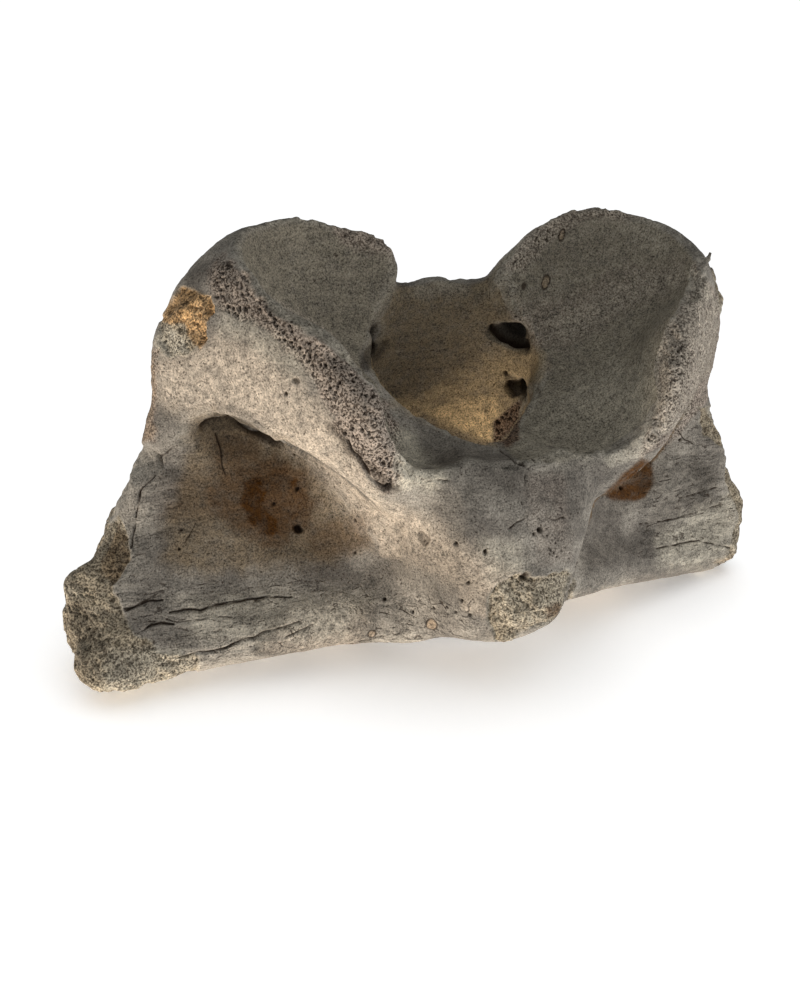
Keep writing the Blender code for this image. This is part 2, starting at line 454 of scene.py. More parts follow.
PATCHES = {
    Zone.CUP: (
        Patch(1.0, 4, 3, (237, 257, 236, 236, 262, 224, 300, 220, 340, 226, 375, 240, 394, 262, 402, 278,
              393, 292, 383, 315, 370, 337, 361, 352, 360, 371, 323, 341, 273, 314, 255, 287)),
        Patch(1.0, 2, 2, (498, 270, 528, 236, 575, 210, 630, 212, 662, 228, 690, 250, 696, 263, 690, 290,
              668, 330, 657, 370, 660, 398, 640, 424, 613, 446, 587, 457, 560, 462, 537, 463, 520, 462,
              497, 443, 517, 403, 553, 372, 550, 357, 523, 323, 494, 280)),
    ),
    # Painted light: the warm glow at the bottom of the canal, where light shines through it.
    Zone.CANAL_LIGHT: (
        Patch(0.34, 12, 8, (392, 404, 430, 388, 470, 366, 500, 352, 552, 352, 545, 372, 518, 405, 493, 440,
              462, 428, 410, 412)),
        Patch(0.8, 8, 8, (425, 412, 450, 402, 480, 392, 506, 398, 500, 415, 493, 442, 470, 434, 440, 420)),
        Patch(1.0, 5, 5, (452, 424, 478, 410, 494, 420, 492, 442, 474, 437)),
    ),
    Zone.FOSSA: (
        Patch(0.9, 12, 10, (196, 420, 222, 410, 278, 440, 332, 490, 372, 545, 330, 560, 250, 568, 185, 575,
              165, 560, 166, 520, 182, 475, 188, 440)),
        Patch(1.0, 8, 5, (205, 425, 225, 412, 272, 435, 262, 470, 225, 470)),
    ),
    Zone.PALE: (
        Patch(1.0, 12, 8, (152, 355, 180, 352, 212, 330, 255, 340, 300, 378, 345, 430, 378, 490, 410, 510,
              470, 545, 520, 572, 490, 600, 440, 575, 392, 552, 368, 540, 330, 490, 275, 438, 222, 412,
              186, 418, 150, 400)),
        Patch(1.0, 2.0, 2, (210, 405, 245, 413, 277, 436, 313, 462, 349, 492, 373, 530, 381, 556, 402, 560,
              400, 520, 370, 480, 330, 440, 290, 405, 245, 385, 215, 385)),
        Patch(0.72, 6, 6, (280, 442, 310, 460, 346, 487, 363, 512, 370, 545, 345, 540, 318, 510, 300, 490,
              280, 466)),
        Patch(0.5, 8, 8, (285, 608, 340, 598, 372, 612, 360, 650, 300, 655, 262, 650)),
        Patch(0.7, 4, 4, (456, 583, 490, 578, 500, 600, 492, 618, 462, 610)),
    ),
    Zone.STAIN: (
        Patch(0.4, 8, 7, (212, 434, 240, 432, 265, 446, 262, 468, 240, 482, 214, 472)),
        Patch(0.72, 1.6, 6, (240, 502, 243, 484, 258, 472, 284, 469, 299, 480, 311, 496, 304, 510, 293, 520,
              280, 534, 264, 536, 248, 522)),
        Patch(1.0, 2.5, 5, (240, 502, 244, 482, 262, 476, 268, 490, 262, 508, 278, 520, 276, 535, 262, 535,
              250, 522)),
        Patch(0.58, 8, 9, (200, 505, 210, 480, 240, 462, 275, 458, 306, 472, 318, 500, 308, 526, 275, 546,
              240, 535)),
        Patch(1.0, 2, 4, (284, 474, 298, 480, 300, 490, 290, 488)),
        Patch(0.35, 8, 8, (306, 522, 345, 520, 375, 540, 350, 556, 312, 548)),
        Patch(0.22, 14, 10, (155, 480, 200, 470, 240, 490, 236, 520, 160, 520)),
        Patch(0.35, 8, 8, (205, 470, 235, 466, 246, 490, 228, 505, 205, 500)),
        Patch(0.25, 8, 8, (160, 488, 185, 486, 186, 512, 164, 514)),
        Patch(0.3, 8, 6, (335, 520, 365, 515, 376, 542, 350, 552)),
        Patch(0.95, 2, 2, (604, 494, 620, 478, 643, 459, 653, 463, 654, 482, 646, 499, 630, 502, 612, 500)),
        Patch(0.8, 3, 3, (546, 608, 560, 604, 562, 614, 548, 619)),
        Patch(0.7, 2, 3, (493, 424, 512, 405, 520, 402, 518, 440, 508, 447, 494, 441)),
    ),
    Zone.RUST: (
        Patch(1.0, 2, 4, (180, 286, 211, 296, 214, 313, 207, 323, 208, 340, 200, 349, 190, 340, 184, 324,
              170, 322, 160, 318, 166, 306)),
        Patch(0.25, 3, 6, (144, 350, 154, 352, 155, 396, 158, 438, 146, 440, 142, 396)),
        Patch(0.35, 2, 3, (113, 523, 125, 537, 129, 562, 115, 583, 104, 572, 104, 545)),
        Patch(0.25, 3, 3, (715, 562, 738, 550, 742, 560, 722, 570)),
    ),
    Zone.SPONGY: (
        Patch(1.0, 1.5, 4, (180, 286, 211, 296, 214, 313, 207, 323, 208, 340, 188, 353, 172, 357, 158, 340,
              160, 318)),
        Patch(1.0, 1.5, 4, (120, 515, 129, 540, 129, 562, 114, 586, 113, 593, 123, 610, 133, 635, 152, 641,
              155, 654, 198, 654, 196, 690, 90, 710, 40, 680, 45, 580, 90, 530)),
        Patch(1.0, 2, 4, (700, 408, 704, 436, 720, 447, 726, 471, 726, 498, 729, 525, 726, 552, 712, 572,
              760, 575, 760, 500, 730, 405)),
        Patch(1.0, 1.5, 4, (488, 598, 498, 586, 513, 577, 547, 577, 568, 570, 576, 583, 566, 608, 553, 624,
              520, 632, 497, 642, 488, 620)),
    ),
    Zone.POROUS: (
        Patch(0.8, 3, 5, (143, 345, 158, 350, 157, 396, 160, 440, 145, 442, 141, 396)),
        Patch(1.0, 2, 3, (493, 424, 512, 405, 520, 402, 518, 440, 508, 447, 494, 441)),
        Patch(1.0, 4, 9, (210, 262, 226, 256, 242, 274, 256, 296, 276, 318, 302, 333, 326, 346, 348, 363,
              368, 384, 386, 402, 398, 424, 402, 450, 401, 478, 388, 492, 372, 477, 356, 456, 338, 430,
              326, 402, 312, 376, 296, 356, 272, 332, 250, 318, 222, 310, 208, 290)),
        Patch(0.8, 4, 7, (328, 226, 352, 230, 378, 243, 396, 264, 388, 274, 362, 262, 340, 248)),
        Patch(0.75, 3, 7, (506, 266, 526, 240, 550, 227, 575, 218, 600, 216, 634, 219, 628, 229, 600, 229,
              560, 241, 540, 256, 524, 274)),
        Patch(0.75, 2, 3, (694, 264, 706, 280, 730, 308, 726, 335, 718, 378, 706, 404, 668, 446, 640, 458,
              648, 426, 661, 398, 658, 372, 660, 352, 669, 330, 681, 308, 691, 288)),
        Patch(0.7, 3, 4, (694, 275, 708, 285, 720, 308, 714, 330, 706, 330, 698, 300)),
        Patch(0.9, 4, 6, (668, 345, 690, 340, 704, 360, 700, 392, 680, 418, 660, 425, 664, 390)),
        Patch(0.42, 9, 9, (512, 305, 545, 302, 590, 288, 640, 268, 684, 262, 680, 285, 640, 304, 600, 326,
              562, 350, 530, 345)),
        Patch(0.3, 6, 5, (528, 473, 562, 473, 568, 522, 572, 560, 540, 566, 526, 520)),
    ),
    Zone.FIBROUS: (
        Patch(0.7, 8, 8, (130, 478, 150, 460, 196, 470, 170, 560, 135, 590, 112, 590)),
        Patch(1.0, 8, 6, (112, 592, 170, 580, 300, 575, 400, 590, 470, 600, 485, 640, 330, 655, 200, 665,
              150, 655, 125, 612)),
        Patch(1.0, 6, 6, (640, 500, 660, 462, 700, 420, 726, 470, 728, 552, 700, 570, 640, 560)),
        Patch(0.5, 8, 6, (147, 350, 200, 345, 215, 395, 190, 420, 150, 440)),
    ),
    # Bleached bone, and painted light: the lit streak along the right cup's lip and spots brightened where
    # the bone lies in shade.
    Zone.BLEACH_AND_LIGHT: (
        Patch(0.36, 16, 8, (515, 440, 560, 400, 610, 362, 656, 350, 662, 400, 640, 426, 613, 448, 587, 459,
              560, 464, 535, 465)),
        Patch(0.2, 8, 8, (540, 232, 575, 220, 620, 219, 660, 235, 672, 252, 620, 246, 560, 252)),
        Patch(0.55, 5, 7, (560, 452, 600, 438, 632, 412, 654, 385, 658, 402, 640, 428, 600, 455)),
        Patch(0.95, 9, 6, (394, 432, 410, 430, 425, 455, 448, 478, 430, 490, 400, 486)),
        Patch(0.5, 10, 6, (480, 542, 520, 540, 528, 572, 490, 578)),
        Patch(0.36, 1.0, 1.5, (692, 264, 703, 275, 716, 300, 718, 330, 709, 378, 696, 404, 668, 436,
              650, 440, 646, 424, 660, 398, 657, 372, 659, 352, 668, 330, 680, 308, 690, 288)),
        Patch(0.62, 3, 3, (690, 266, 704, 276, 715, 298, 708, 305, 692, 302, 688, 288)),
        Patch(0.4, 3, 4, (600, 458, 625, 444, 646, 426, 664, 436, 640, 458, 612, 470)),
        Patch(0.32, 4, 6, (508, 266, 526, 241, 550, 228, 575, 219, 600, 216, 634, 219, 628, 229, 600, 230,
              560, 240, 540, 258, 524, 276)),
        Patch(0.25, 7, 8, (545, 322, 590, 300, 640, 272, 684, 266, 680, 285, 640, 300, 600, 322, 560, 342)),
        Patch(0.85, 3, 6, (162, 326, 186, 335, 188, 352, 170, 356, 156, 345)),
        Patch(0.6, 9, 8, (655, 540, 690, 512, 728, 495, 730, 550, 700, 568, 660, 565)),
        Patch(0.5, 14, 10, (180, 600, 260, 590, 370, 598, 340, 632, 250, 640, 190, 640)),
        Patch(0.4, 9, 8, (222, 306, 262, 325, 300, 352, 312, 380, 290, 376, 248, 345, 222, 335)),
        Patch(0.4, 4, 5, (492, 600, 500, 584, 550, 580, 572, 574, 574, 590, 550, 622, 515, 628, 495, 622)),
        Patch(0.55, 7, 8, (104, 692, 112, 648, 160, 650, 198, 655, 190, 685, 140, 700)),
        Patch(0.4, 4, 5, (66, 572, 84, 570, 90, 596, 70, 600)),
        Patch(0.25, 5, 7, (186, 305, 200, 305, 205, 330, 196, 345, 184, 330)),
    ),
    # Soil, and painted shade: the shadow under the bar's overhang, the dark inside the foramen slot and
    # holes, and darker shaded slopes and sides.
    Zone.SOIL_AND_SHADE: (
        Patch(1.0, 1.8, 2, (205, 422, 208, 417, 216, 413, 231, 413, 249, 418, 267, 430, 277, 441, 275, 446,
              268, 445, 254, 436, 240, 431, 224, 431, 212, 431)),
        Patch(0.16, 12, 8, (240, 240, 300, 222, 375, 243, 395, 280, 365, 350, 300, 325)),
        Patch(0.4, 9, 5, (203, 430, 240, 425, 268, 445, 250, 452, 215, 450)),
        Patch(0.9, 1.5, 1, (492, 324, 505, 319, 520, 320, 529, 334, 531, 347, 520, 346, 497, 336)),
        Patch(0.8, 1.5, 1, (504, 373, 511, 375, 520, 380, 523, 394, 512, 398, 506, 388)),
        Patch(0.9, 2, 2, (359, 371, 361, 356, 371, 344, 388, 340, 385, 352, 372, 369)),
        Patch(0.3, 6, 8, (205, 262, 222, 256, 242, 272, 268, 308, 300, 333, 345, 362, 372, 392, 388, 415,
              360, 430, 335, 405, 318, 378, 290, 352, 250, 325, 218, 312)),
        Patch(0.4, 5, 7, (205, 262, 222, 256, 242, 272, 268, 308, 290, 330, 250, 322, 218, 312)),
        Patch(0.75, 2.5, 6, (328, 425, 336, 424, 352, 445, 368, 462, 390, 478, 398, 490, 384, 492, 366, 470,
              348, 452)),
        Patch(0.5, 2.5, 4, (112, 523, 125, 537, 129, 562, 115, 583, 104, 572, 104, 545)),
        Patch(0.5, 7, 8, (60, 640, 66, 598, 84, 600, 96, 640, 92, 680, 72, 672)),
        Patch(0.35, 14, 8, (425, 445, 480, 450, 530, 470, 520, 500, 450, 505, 420, 480)),
        Patch(0.35, 8, 6, (160, 250, 235, 222, 300, 216, 260, 228, 228, 258, 205, 285, 180, 280)),
        Patch(0.25, 16, 10, (385, 585, 450, 580, 455, 620, 380, 640, 350, 640, 355, 600)),
        Patch(0.55, 18, 10, (395, 540, 460, 540, 480, 590, 430, 600, 395, 580)),
        Patch(0.5, 10, 8, (640, 480, 690, 450, 722, 478, 716, 505, 650, 530)),
        Patch(0.35, 14, 8, (560, 215, 620, 218, 640, 240, 600, 262, 545, 275, 530, 262)),
        Patch(0.6, 3, 6, (176, 286, 205, 292, 196, 300, 178, 318, 166, 318)),
        Patch(0.3, 4, 6, (240, 502, 244, 484, 256, 480, 258, 500, 266, 516, 272, 532, 262, 533, 250, 520)),
        Patch(0.35, 2.5, 6, (144, 350, 152, 352, 152, 396, 156, 438, 146, 440, 142, 396)),
    ),
}

CRACKS = (
    Crack((213, 410, 230, 411, 245, 415, 262, 426, 277, 437, 313, 461, 349, 491,
          362, 510, 372, 535), 1.7, -0.7, 0.3, 0.0),
    Crack((206, 424, 212, 419, 231, 419, 247, 425, 262, 435, 277, 443), 2.2, 1.6, 0.3, 0.9),
    Crack((277, 443, 293, 458, 312, 470, 333, 483, 347, 499, 359, 517, 368, 540), 1.3, 0.2, 0.3, 0.0),
    Crack((692, 264, 690, 288, 680, 308, 668, 330, 659, 352, 657, 372, 660, 398, 646, 424, 625, 440,
          600, 454), 1.3, -0.75, 0.4, 0.0),
    Crack((600, 454, 575, 461, 540, 464, 522, 463), 1.4, -0.25, 0.8, 0.0),
    Crack((237, 258, 255, 286, 273, 314, 300, 329, 323, 342, 345, 358, 361, 371, 381, 391, 395, 405,
          405, 422, 408, 450, 404, 478), 1.5, -0.4, 0.8, 0.0),
    Crack((170, 613, 183, 609, 200, 609, 212, 606, 222, 604, 245, 600, 270, 596), 0.55, 0.8),
    Crack((124, 609, 133, 607, 148, 602, 162, 600), 0.45, 0.6),
    Crack((146, 627, 152, 624, 160, 623, 174, 624), 0.5, 0.6),
    Crack((180, 657, 200, 652, 213, 652, 237, 642, 250, 638, 275, 629, 300, 621), 0.5, 0.7),
    Crack((283, 637, 295, 632, 313, 625), 0.35, 0.5),
    Crack((300, 657, 340, 645, 400, 634), 0.35, 0.5),
    Crack((216, 434, 220, 446, 221, 460, 225, 475), 0.45, 0.6),
    Crack((152, 461, 160, 456, 167, 452, 175, 445), 0.5, 0.7),
    Crack((145, 475, 140, 505, 131, 548), 0.4, 0.5),
    Crack((184, 545, 190, 535, 196, 522), 0.3, 0.3),
    Crack((494, 331, 504, 335, 515, 340, 524, 345), 2.9, 2.4, 0.1),
    Crack((528, 468, 524, 478, 527, 492, 521, 503, 525, 517, 531, 541), 0.28, 0.3, 0.3, 0.6),
    Crack((510, 528, 517, 522, 524, 520), 0.35, 0.4),
    Crack((545, 517, 555, 520, 564, 518), 0.3, 0.35),
    Crack((497, 446, 507, 456, 515, 462, 524, 466), 0.4, 0.5),
    Crack((518, 450, 527, 455, 535, 462), 0.3, 0.35),
    Crack((422, 483, 435, 480, 448, 481), 0.3, 0.35),
    Crack((166, 619, 178, 622, 190, 621, 215, 617, 232, 616), 0.28, 0.3),
    Crack((205, 652, 225, 648, 243, 641), 0.3, 0.4),
    Crack((255, 601, 275, 597, 292, 597), 0.35, 0.5),
    Crack((150, 600, 140, 603, 125, 611), 0.3, 0.3),
    Crack((640, 524, 660, 522, 682, 517, 700, 511, 718, 506), 0.45, 0.6),
    Crack((680, 498, 698, 493, 716, 487), 0.4, 0.5),
    Crack((657, 549, 680, 543, 700, 541, 727, 547), 0.45, 0.6),
    Crack((678, 430, 685, 440, 694, 445, 704, 444), 0.35, 0.4),
    Crack((430, 351, 442, 349, 455, 347), 0.25, 0.3),
    Crack((347, 438, 353, 449, 362, 463, 373, 480, 386, 489), 0.7, 0.8, 0.5),
)

PITS = (
    Pit((298, 529), 0.9, 1.8), Pit((297, 489), 0.5, 0.6), Pit((274, 504), 0.4, 0.5),
    Pit((388, 487), 1.0, 1.4), Pit((423, 538), 1.3, 0.8, 0.3), Pit((456, 544), 0.45, 0.6),
    Pit((485, 552), 0.5, 0.7), Pit((540, 530), 0.55, 0.9), Pit((534, 534), 0.4, 0.5),
    Pit((526, 577), 0.95, 1.2), Pit((468, 583), 0.4, 0.6), Pit((462, 601), 0.4, 0.6),
    Pit((470, 615), 0.45, 0.6), Pit((456, 612), 0.4, 0.6), Pit((447, 607), 0.35, 0.5),
    Pit((434, 608), 0.35, 0.5), Pit((413, 612), 0.35, 0.5), Pit((385, 599), 0.5, 0.7),
    Pit((521, 463), 0.6, 0.8), Pit((505, 373), 0.6, 0.7, 0.8), Pit((513, 388), 1.9, 2.2, 0.9),
    Pit((371, 349), 1.5, 1.5), Pit((296, 381), 0.7, 0.6, 0.5), Pit((286, 394), 0.4, 0.4),
    Pit((294, 455), 0.4, 0.5), Pit((621, 488), 0.5, 0.7), Pit((179, 549), 0.4, 0.5),
    Pit((181, 530), 0.35, 0.4), Pit((355, 520), 0.35, 0.4), Pit((355, 553), 0.35, 0.4),
    Pit((680, 440), 0.5, 0.6),
)

RINGS = (
    Ring((546, 283), 1.35, 0.3, 0.62),
    Ring((562, 243), 1.05, 0.28, 0.62),
    Ring((524, 286), 0.35, 0.5),
    Ring((432, 624), 1.4, 0.2),
    Ring((372, 634), 0.9, 0.2),
)

PUSHES = (
    Push((152, 459), 2.6, -2.2),
    Push((503, 635), 3.2, 2.4),
    Push((142, 492), 8.0, 1.2),
    Push((156, 432), 7.0, 1.5),
    Push((722, 452), 5.0, 1.0),
)

PULLS = (
    Pull((588, 224), 18.0, 0.0, 2.4),
    Pull((310, 230), 19.0, 0.0, 1.1),
    Pull((378, 254), 9.0, 0.6, 2.2),
    Pull((86, 585), 7.0, -2.6, 0.0),
    Pull((124, 484), 5.0, 1.0, 0.0),
    Pull((104, 528), 6.0, 1.6, 0.0),
    Pull((699, 392), 6.0, -2.2, 0.0),
    Pull((712, 352), 6.0, -0.6, 0.0),
    Pull((733, 505), 7.0, 1.5, 0.0),
    Pull((728, 560), 5.0, 1.2, 0.0),
    Pull((110, 684), 9.0, way=(0.0, -2.8, 0.0)),
    Pull((92, 672), 8.0, -1.8, 0.0, (0.0, -1.2, 0.0)),
    Pull((143, 467), 4.5, 3.2, 0.0),
    Pull((388, 268), 6.0, 0.7, 1.6),
    Pull((731, 525), 8.0, 1.5, 0.0),
    Pull((716, 440), 5.0, 1.0, 0.0),
    Pull((715, 307), 2.6, 0.8, 0.0),
    Pull((508, 309), 6.0, 0.0, -1.9),
    Pull((536, 388), 5.5, -1.7, 0.0),
)


@dataclass(frozen=True)
class Hollow:
    """An ellipsoid hollow of the solid, given on the animal's left, in millimetres."""

    centre: Triple
    radii: Triple
    axis: Triple
    opening: Triple

    def level(self, points: np.ndarray, side: int) -> np.ndarray:
        """Return each point's distance from the centre, 1 on the hollow's own surface.

        Args:
            points: places in metres.
            side: 1 for the animal's left and -1 for its right.

        Returns:
            The length of each place after scaling by the radii.
        """
        flip = np.array([side, 1, 1])
        along = np.array(self.axis) * flip
        along = along / np.linalg.norm(along)
        out = np.array(self.opening) * flip
        out = out - along * (out @ along)
        out = out / np.linalg.norm(out)
        turn = np.stack([np.cross(out, along), out, along])
        local = (points - np.array(MIDLINE) - np.array(self.centre) * flip * MM) @ turn.T
        return np.linalg.norm(local / (np.array(self.radii) * MM), axis=1)


CUPS = (
    Hollow((12.3, -3.8, 74.4), (22.3, 26.1, 38.4), (0.75, 0.45, 0.485), (-0.32, -0.40, 0.86)),
    Hollow((14, -8, 60), (12, 16.5, 17), (0.57, -0.82, 0), (0, 0, 1)),
)

WING_EDGE = ((61, 13, 38), (64, 12, 30), (70, 10, 20), (75, 9, 12), (76, 9, 5))
MARGINS = (Margin(-1, 8.5), Margin(1, 5.0))
CLOUD_RISE = 0.45
CLOUDS = (
    Cloud(Zone.FIBROUS, Noise(12, 3, 91), -0.1, 0.8),
    Cloud(Zone.PALE, Noise(17, 3, 91), 0.0, 0.55),
)


# Bone


@dataclass
class Surface:
    """The bone's points and normals as arrays, and each zone's strength there."""

    points: np.ndarray
    normals: np.ndarray
    zones: dict[Zone, np.ndarray]

    @classmethod
    def of(cls, mesh: bpy.types.Mesh) -> "Surface":
        """Read a mesh's points and normals, with every zone still at nothing."""
        points = read(mesh.vertices, "co", 3).astype(float)
        normals = read(mesh.vertex_normals, "vector", 3).astype(float)
        return cls(points, normals, {zone: np.zeros(len(points)) for zone in Zone})

    def raise_to(self, zone: Zone, chosen: np.ndarray, share: np.ndarray) -> None:
        """Raise a zone to a share at the chosen points, where it is less."""
        self.zones[zone][chosen] = np.maximum(self.zones[zone][chosen], share)

    def around(self, line: np.ndarray, margin: float) -> np.ndarray:
        """Return which points lie in the box round a line, grown by a margin."""
        return np.where(np.all((self.points > line.min(0) - margin)
                               & (self.points < line.max(0) + margin), axis=1))[0]

    def keep(self, mesh: bpy.types.Mesh) -> None:
        """Keep each zone's strength as a point attribute of the mesh."""
        for zone, values in self.zones.items():
            kept = mesh.attributes.new(zone.value, "FLOAT", "POINT")
            kept.data.foreach_set("value", np.clip(values, 0.0, 1.0).astype(np.float32))


@dataclass
class WeatheredAtlas:
    """The whole bone: a refined copy of the solid with the relief of weathered bone.

    Its methods take the surface with the zones marked so far. Those that return a relief give
    one height or depth for each point, in metres.
    """

    viewpoint: Viewpoint
    voxel: float = 0.225 * MM
    softening: int = 32
    triangles: int = 740000
    broad_relief: float = 0.25 * MM
    broad: Noise = Noise(12, 3, 3)
    fine_relief: float = 0.11 * MM
    fine: Noise = Noise(2.2, 3, 11)
    grit_relief: float = 0.05 * MM
    grit: Noise = Noise(0.8, 1, 13)
    cup_calm: float = 0.7
    fibre_relief: float = 0.11 * MM
    fibre: Noise = Noise(1.3, 3, 19)
    fibre_draw: float = 0.88
    spongy_sink: float = 0.45 * MM
    spongy_lumps: float = 2.2 * MM
    lumps: Noise = Noise(6.5, 3, 29)
    spongy_crumbs: float = 0.3 * MM
    crumbs: Noise = Noise(1.5, 2, 37)
    spongy_cells: float = 0.42 * MM
    cell_size: float = 0.95 * MM
    cell_seed: int = 31
    cell_rough: float = 0.25
    cell_bend: float = 0.5 * MM
    cell_sway: Noise = Noise(1.6, 1, 60)
    cell_walls: tuple[float, float] = (0.15, 0.42)
    cell_dark: float = 0.3
    pore_depth: float = 0.5 * MM
    pore_size: float = 0.88 * MM
    pore_seed: int = 41
    pore_bend: float = 0.25 * MM
    pore_sway: Noise = Noise(1.2, 1, 90)
    pore_uneven: Noise = Noise(2.6, 1, 47)
    uneven_shrink: float = 0.14
    weak_shrink: float = 0.2
    pore_walls: tuple[float, float] = (0.17, 0.34)
    pore_start: tuple[float, float] = (0.0, 0.3)
    pore_crumbs: float = 0.2 * MM
    pore_crumb: Noise = Noise(1.3, 3, 43)
    chip_depth: float = 1.0 * MM
    chip: Noise = Noise(4.0, 3, 101)
    chip_range: tuple[float, float] = (0.02, 0.45)
    nibble_depth: float = 0.35 * MM
    nibble: Noise = Noise(1.6, 2, 107)
    crack_reach: float = 0.8
    crack_strength: float = 0.85
    crack_unevenness: float = 0.35
    crack_sway: Noise = Noise(1.8, 1, 50)
    crack_fading: Noise = Noise(3.0, 1, 57)
    crack_dark: tuple[float, float] = (0.2, 0.65)
    pit_walls: tuple[float, float] = (0.45, 1.2)
    pit_uneven: float = 0.35
    pit_grain: float = 0.9
    pit_seed: int = 77
    ring_depth: float = 0.12 * MM
    ring_lean: float = 0.35
    ring_flat: float = 0.5
    ring_wobble: float = 0.12
    ring_border: float = 0.3
    ring_rust: float = 0.3
    ring_walls: tuple[float, float] = (0.4, 1.3)
    ring_dark: float = 0.9
    ring_uneven: Noise = Noise(0.9, 1, 79)
    cup_gap: tuple[float, float] = (0.03, 0.06)
    cup_height: tuple[float, float] = (50 * MM, 54 * MM)
    canal_middle: float = 11.0 * MM
    canal_facing: tuple[float, float] = (0.25, 0.6)
    canal_reach: tuple[float, float] = (22 * MM, 25 * MM)
    worn_pores: Noise = Noise(7.0, 2, 97)
    worn_range: tuple[float, float] = (0.0, 0.4)
    worn_strength: float = 0.7
    margin_wobble: float = 3.0 * MM
    margin_border: Noise = Noise(6, 3, 83)
    pieces: tuple[str, ...] = ("right_wing", "right_half", "left_half", "left_wing")
    bend_steps: int = 64
    bend_range: tuple[float, float] = (0.05 * MM, 0.24 * MM)
    sight_cell: float = 2.0
    sight_depth: float = 3.0 * MM
    sight_fade: float = 1.6
    sight_facing: tuple[float, float] = (-0.55, -0.1)
    border: Noise = Noise(2.2, 4, 71)
    hidden: np.ndarray | None = field(default=None, repr=False)
    tree: BVHTree | None = field(default=None, repr=False)

    def build(self) -> list[bpy.types.Object]:
        """Make the bone and return its pieces, from the animal's right to its left."""
        bone = add_object("weathered_atlas", self.refined(bpy.data.objects[NODE]))
        bpy.context.view_layer.update()
        self.tree = BVHTree.FromObject(bone, bpy.context.evaluated_depsgraph_get())
        surface = Surface.of(bone.data)
        log.info("refined to %d points", len(surface.points))
        self.mark_bends(surface, bone.data)
        height = self.relief(surface)
        moved = surface.points + surface.normals * height[:, None] + self.pulls(surface)
        moved[:, 2] = np.maximum(moved[:, 2], 0.0)
        bone.data.vertices.foreach_set("co", moved.astype(np.float32).ravel())
        surface.keep(bone.data)
        bone.data.update()
        self.thin(bone)
        return self.split(bone)

    def split(self, bone: bpy.types.Object) -> list[bpy.types.Object]:
        """Cut the bone across into pieces with as many points each, closed inside by flat caps.

        The pieces keep the whole bone's normals, so that the cuts don't show.

        Args:
            bone: the whole bone, which is removed.
        """
        mesh = bone.data
        surface = Surface.of(mesh)
        kept = mesh.attributes.new(WHOLE_NORMAL, "FLOAT_VECTOR", "POINT")
        kept.data.foreach_set("vector", surface.normals.astype(np.float32).ravel())
        share = np.linspace(0.0, 1.0, len(self.pieces) + 1)[1:-1]
        cuts = [None, *np.quantile(surface.points[:, 0], share), None]
        made = [add_object("atlas_" + name, self.slice(mesh, low, high))
                for name, low, high in zip(self.pieces, cuts[:-1], cuts[1:])]
        bpy.data.objects.remove(bone)
        return made

    @staticmethod
    def slice(mesh: bpy.types.Mesh, low: float | None, high: float | None) -> bpy.types.Mesh:
        """Return the part of a mesh between two planes across X, with flat caps there.

        Args:
            mesh: the whole bone.
            low: the first plane's X, or None at the end.
            high: the second plane's X, or None at the end.

        Returns:
            The part, with the whole bone's normals.
        """
        bm = bmesh.new()
        bm.from_mesh(mesh)
        for cut, way in ((low, -1.0), (high, 1.0)):
            if cut is None:
                continue
            found = bmesh.ops.bisect_plane(
                bm, geom=bm.verts[:] + bm.edges[:] + bm.faces[:], dist=1e-8,
                plane_co=(cut, 0.0, 0.0), plane_no=(way, 0.0, 0.0), clear_outer=True)
            edges = [e for e in found["geom_cut"] if isinstance(e, bmesh.types.BMEdge)]
            cap = bmesh.ops.triangle_fill(bm, edges=edges, use_beauty=False,
                                          normal=(way, 0.0, 0.0))["geom"]
            for face in cap:
                if isinstance(face, bmesh.types.BMFace):
                    face.material_index = CAP
                    face.normal_update()
                    if face.normal.x * way < 0.0:
                        face.normal_flip()
        part = bpy.data.meshes.new("part")
        bm.to_mesh(part)
        bm.free()
        corners = read(part.loops, "vertex_index", kind=np.int32)
        shown = read(part.attributes[WHOLE_NORMAL].data, "vector", 3)[corners]
        caps = read(part.polygons, "material_index", kind=np.int32)
        flat = read(part.polygons, "normal", 3)
        sides = read(part.polygons, "loop_total", kind=np.int32)
        capped = np.repeat(caps == CAP, sides)
        shown[capped] = np.repeat(flat, sides, axis=0)[capped]
        part.polygons.foreach_set("material_index", np.zeros(len(caps), np.int32))
        part.attributes.remove(part.attributes[WHOLE_NORMAL])
        part.shade_smooth()
        part.normals_split_custom_set(shown)
        return part

    def refined(self, source: bpy.types.Object) -> bpy.types.Mesh:
        """Return the solid's mesh, merged, remeshed evenly and softened."""
        bm = bmesh.new()
        bm.from_mesh(source.data)
        bmesh.ops.remove_doubles(bm, verts=bm.verts, dist=1e-6)
        merged = bpy.data.meshes.new("merged")
        bm.to_mesh(merged)
        bm.free()
        holder = add_object("holder", merged)
        step = holder.modifiers.new("round", "SUBSURF")
        step.levels = step.render_levels = 1
        step = holder.modifiers.new("even", "REMESH")
        step.mode = "VOXEL"
        step.voxel_size = self.voxel
        step = holder.modifiers.new("soften", "SMOOTH")
        step.factor = 0.5
        step.iterations = self.softening
        made = finished_mesh(holder)
        bpy.data.objects.remove(holder)
        return made

    def thin(self, bone: bpy.types.Object) -> None:
        """Collapse the flatter parts until the bone has its number of triangles."""
        count = sum(len(p.vertices) - 2 for p in bone.data.polygons)
        step = bone.modifiers.new("thin", "DECIMATE")
        step.ratio = min(1.0, self.triangles / count)
        mesh = finished_mesh(bone)
        bone.modifiers.clear()
        bone.data = mesh
        mesh.shade_smooth()

    def cast(self, pixel: Pixel) -> tuple[np.ndarray, np.ndarray] | None:
        """Return the place and normal where a pixel's ray meets the bone, or None."""
        hit = self.tree.ray_cast(Vector(self.viewpoint.place()), Vector(self.viewpoint.ray(pixel)))
        if hit[0] is None:
            return None
        return np.array(hit[0]), np.array(hit[1])

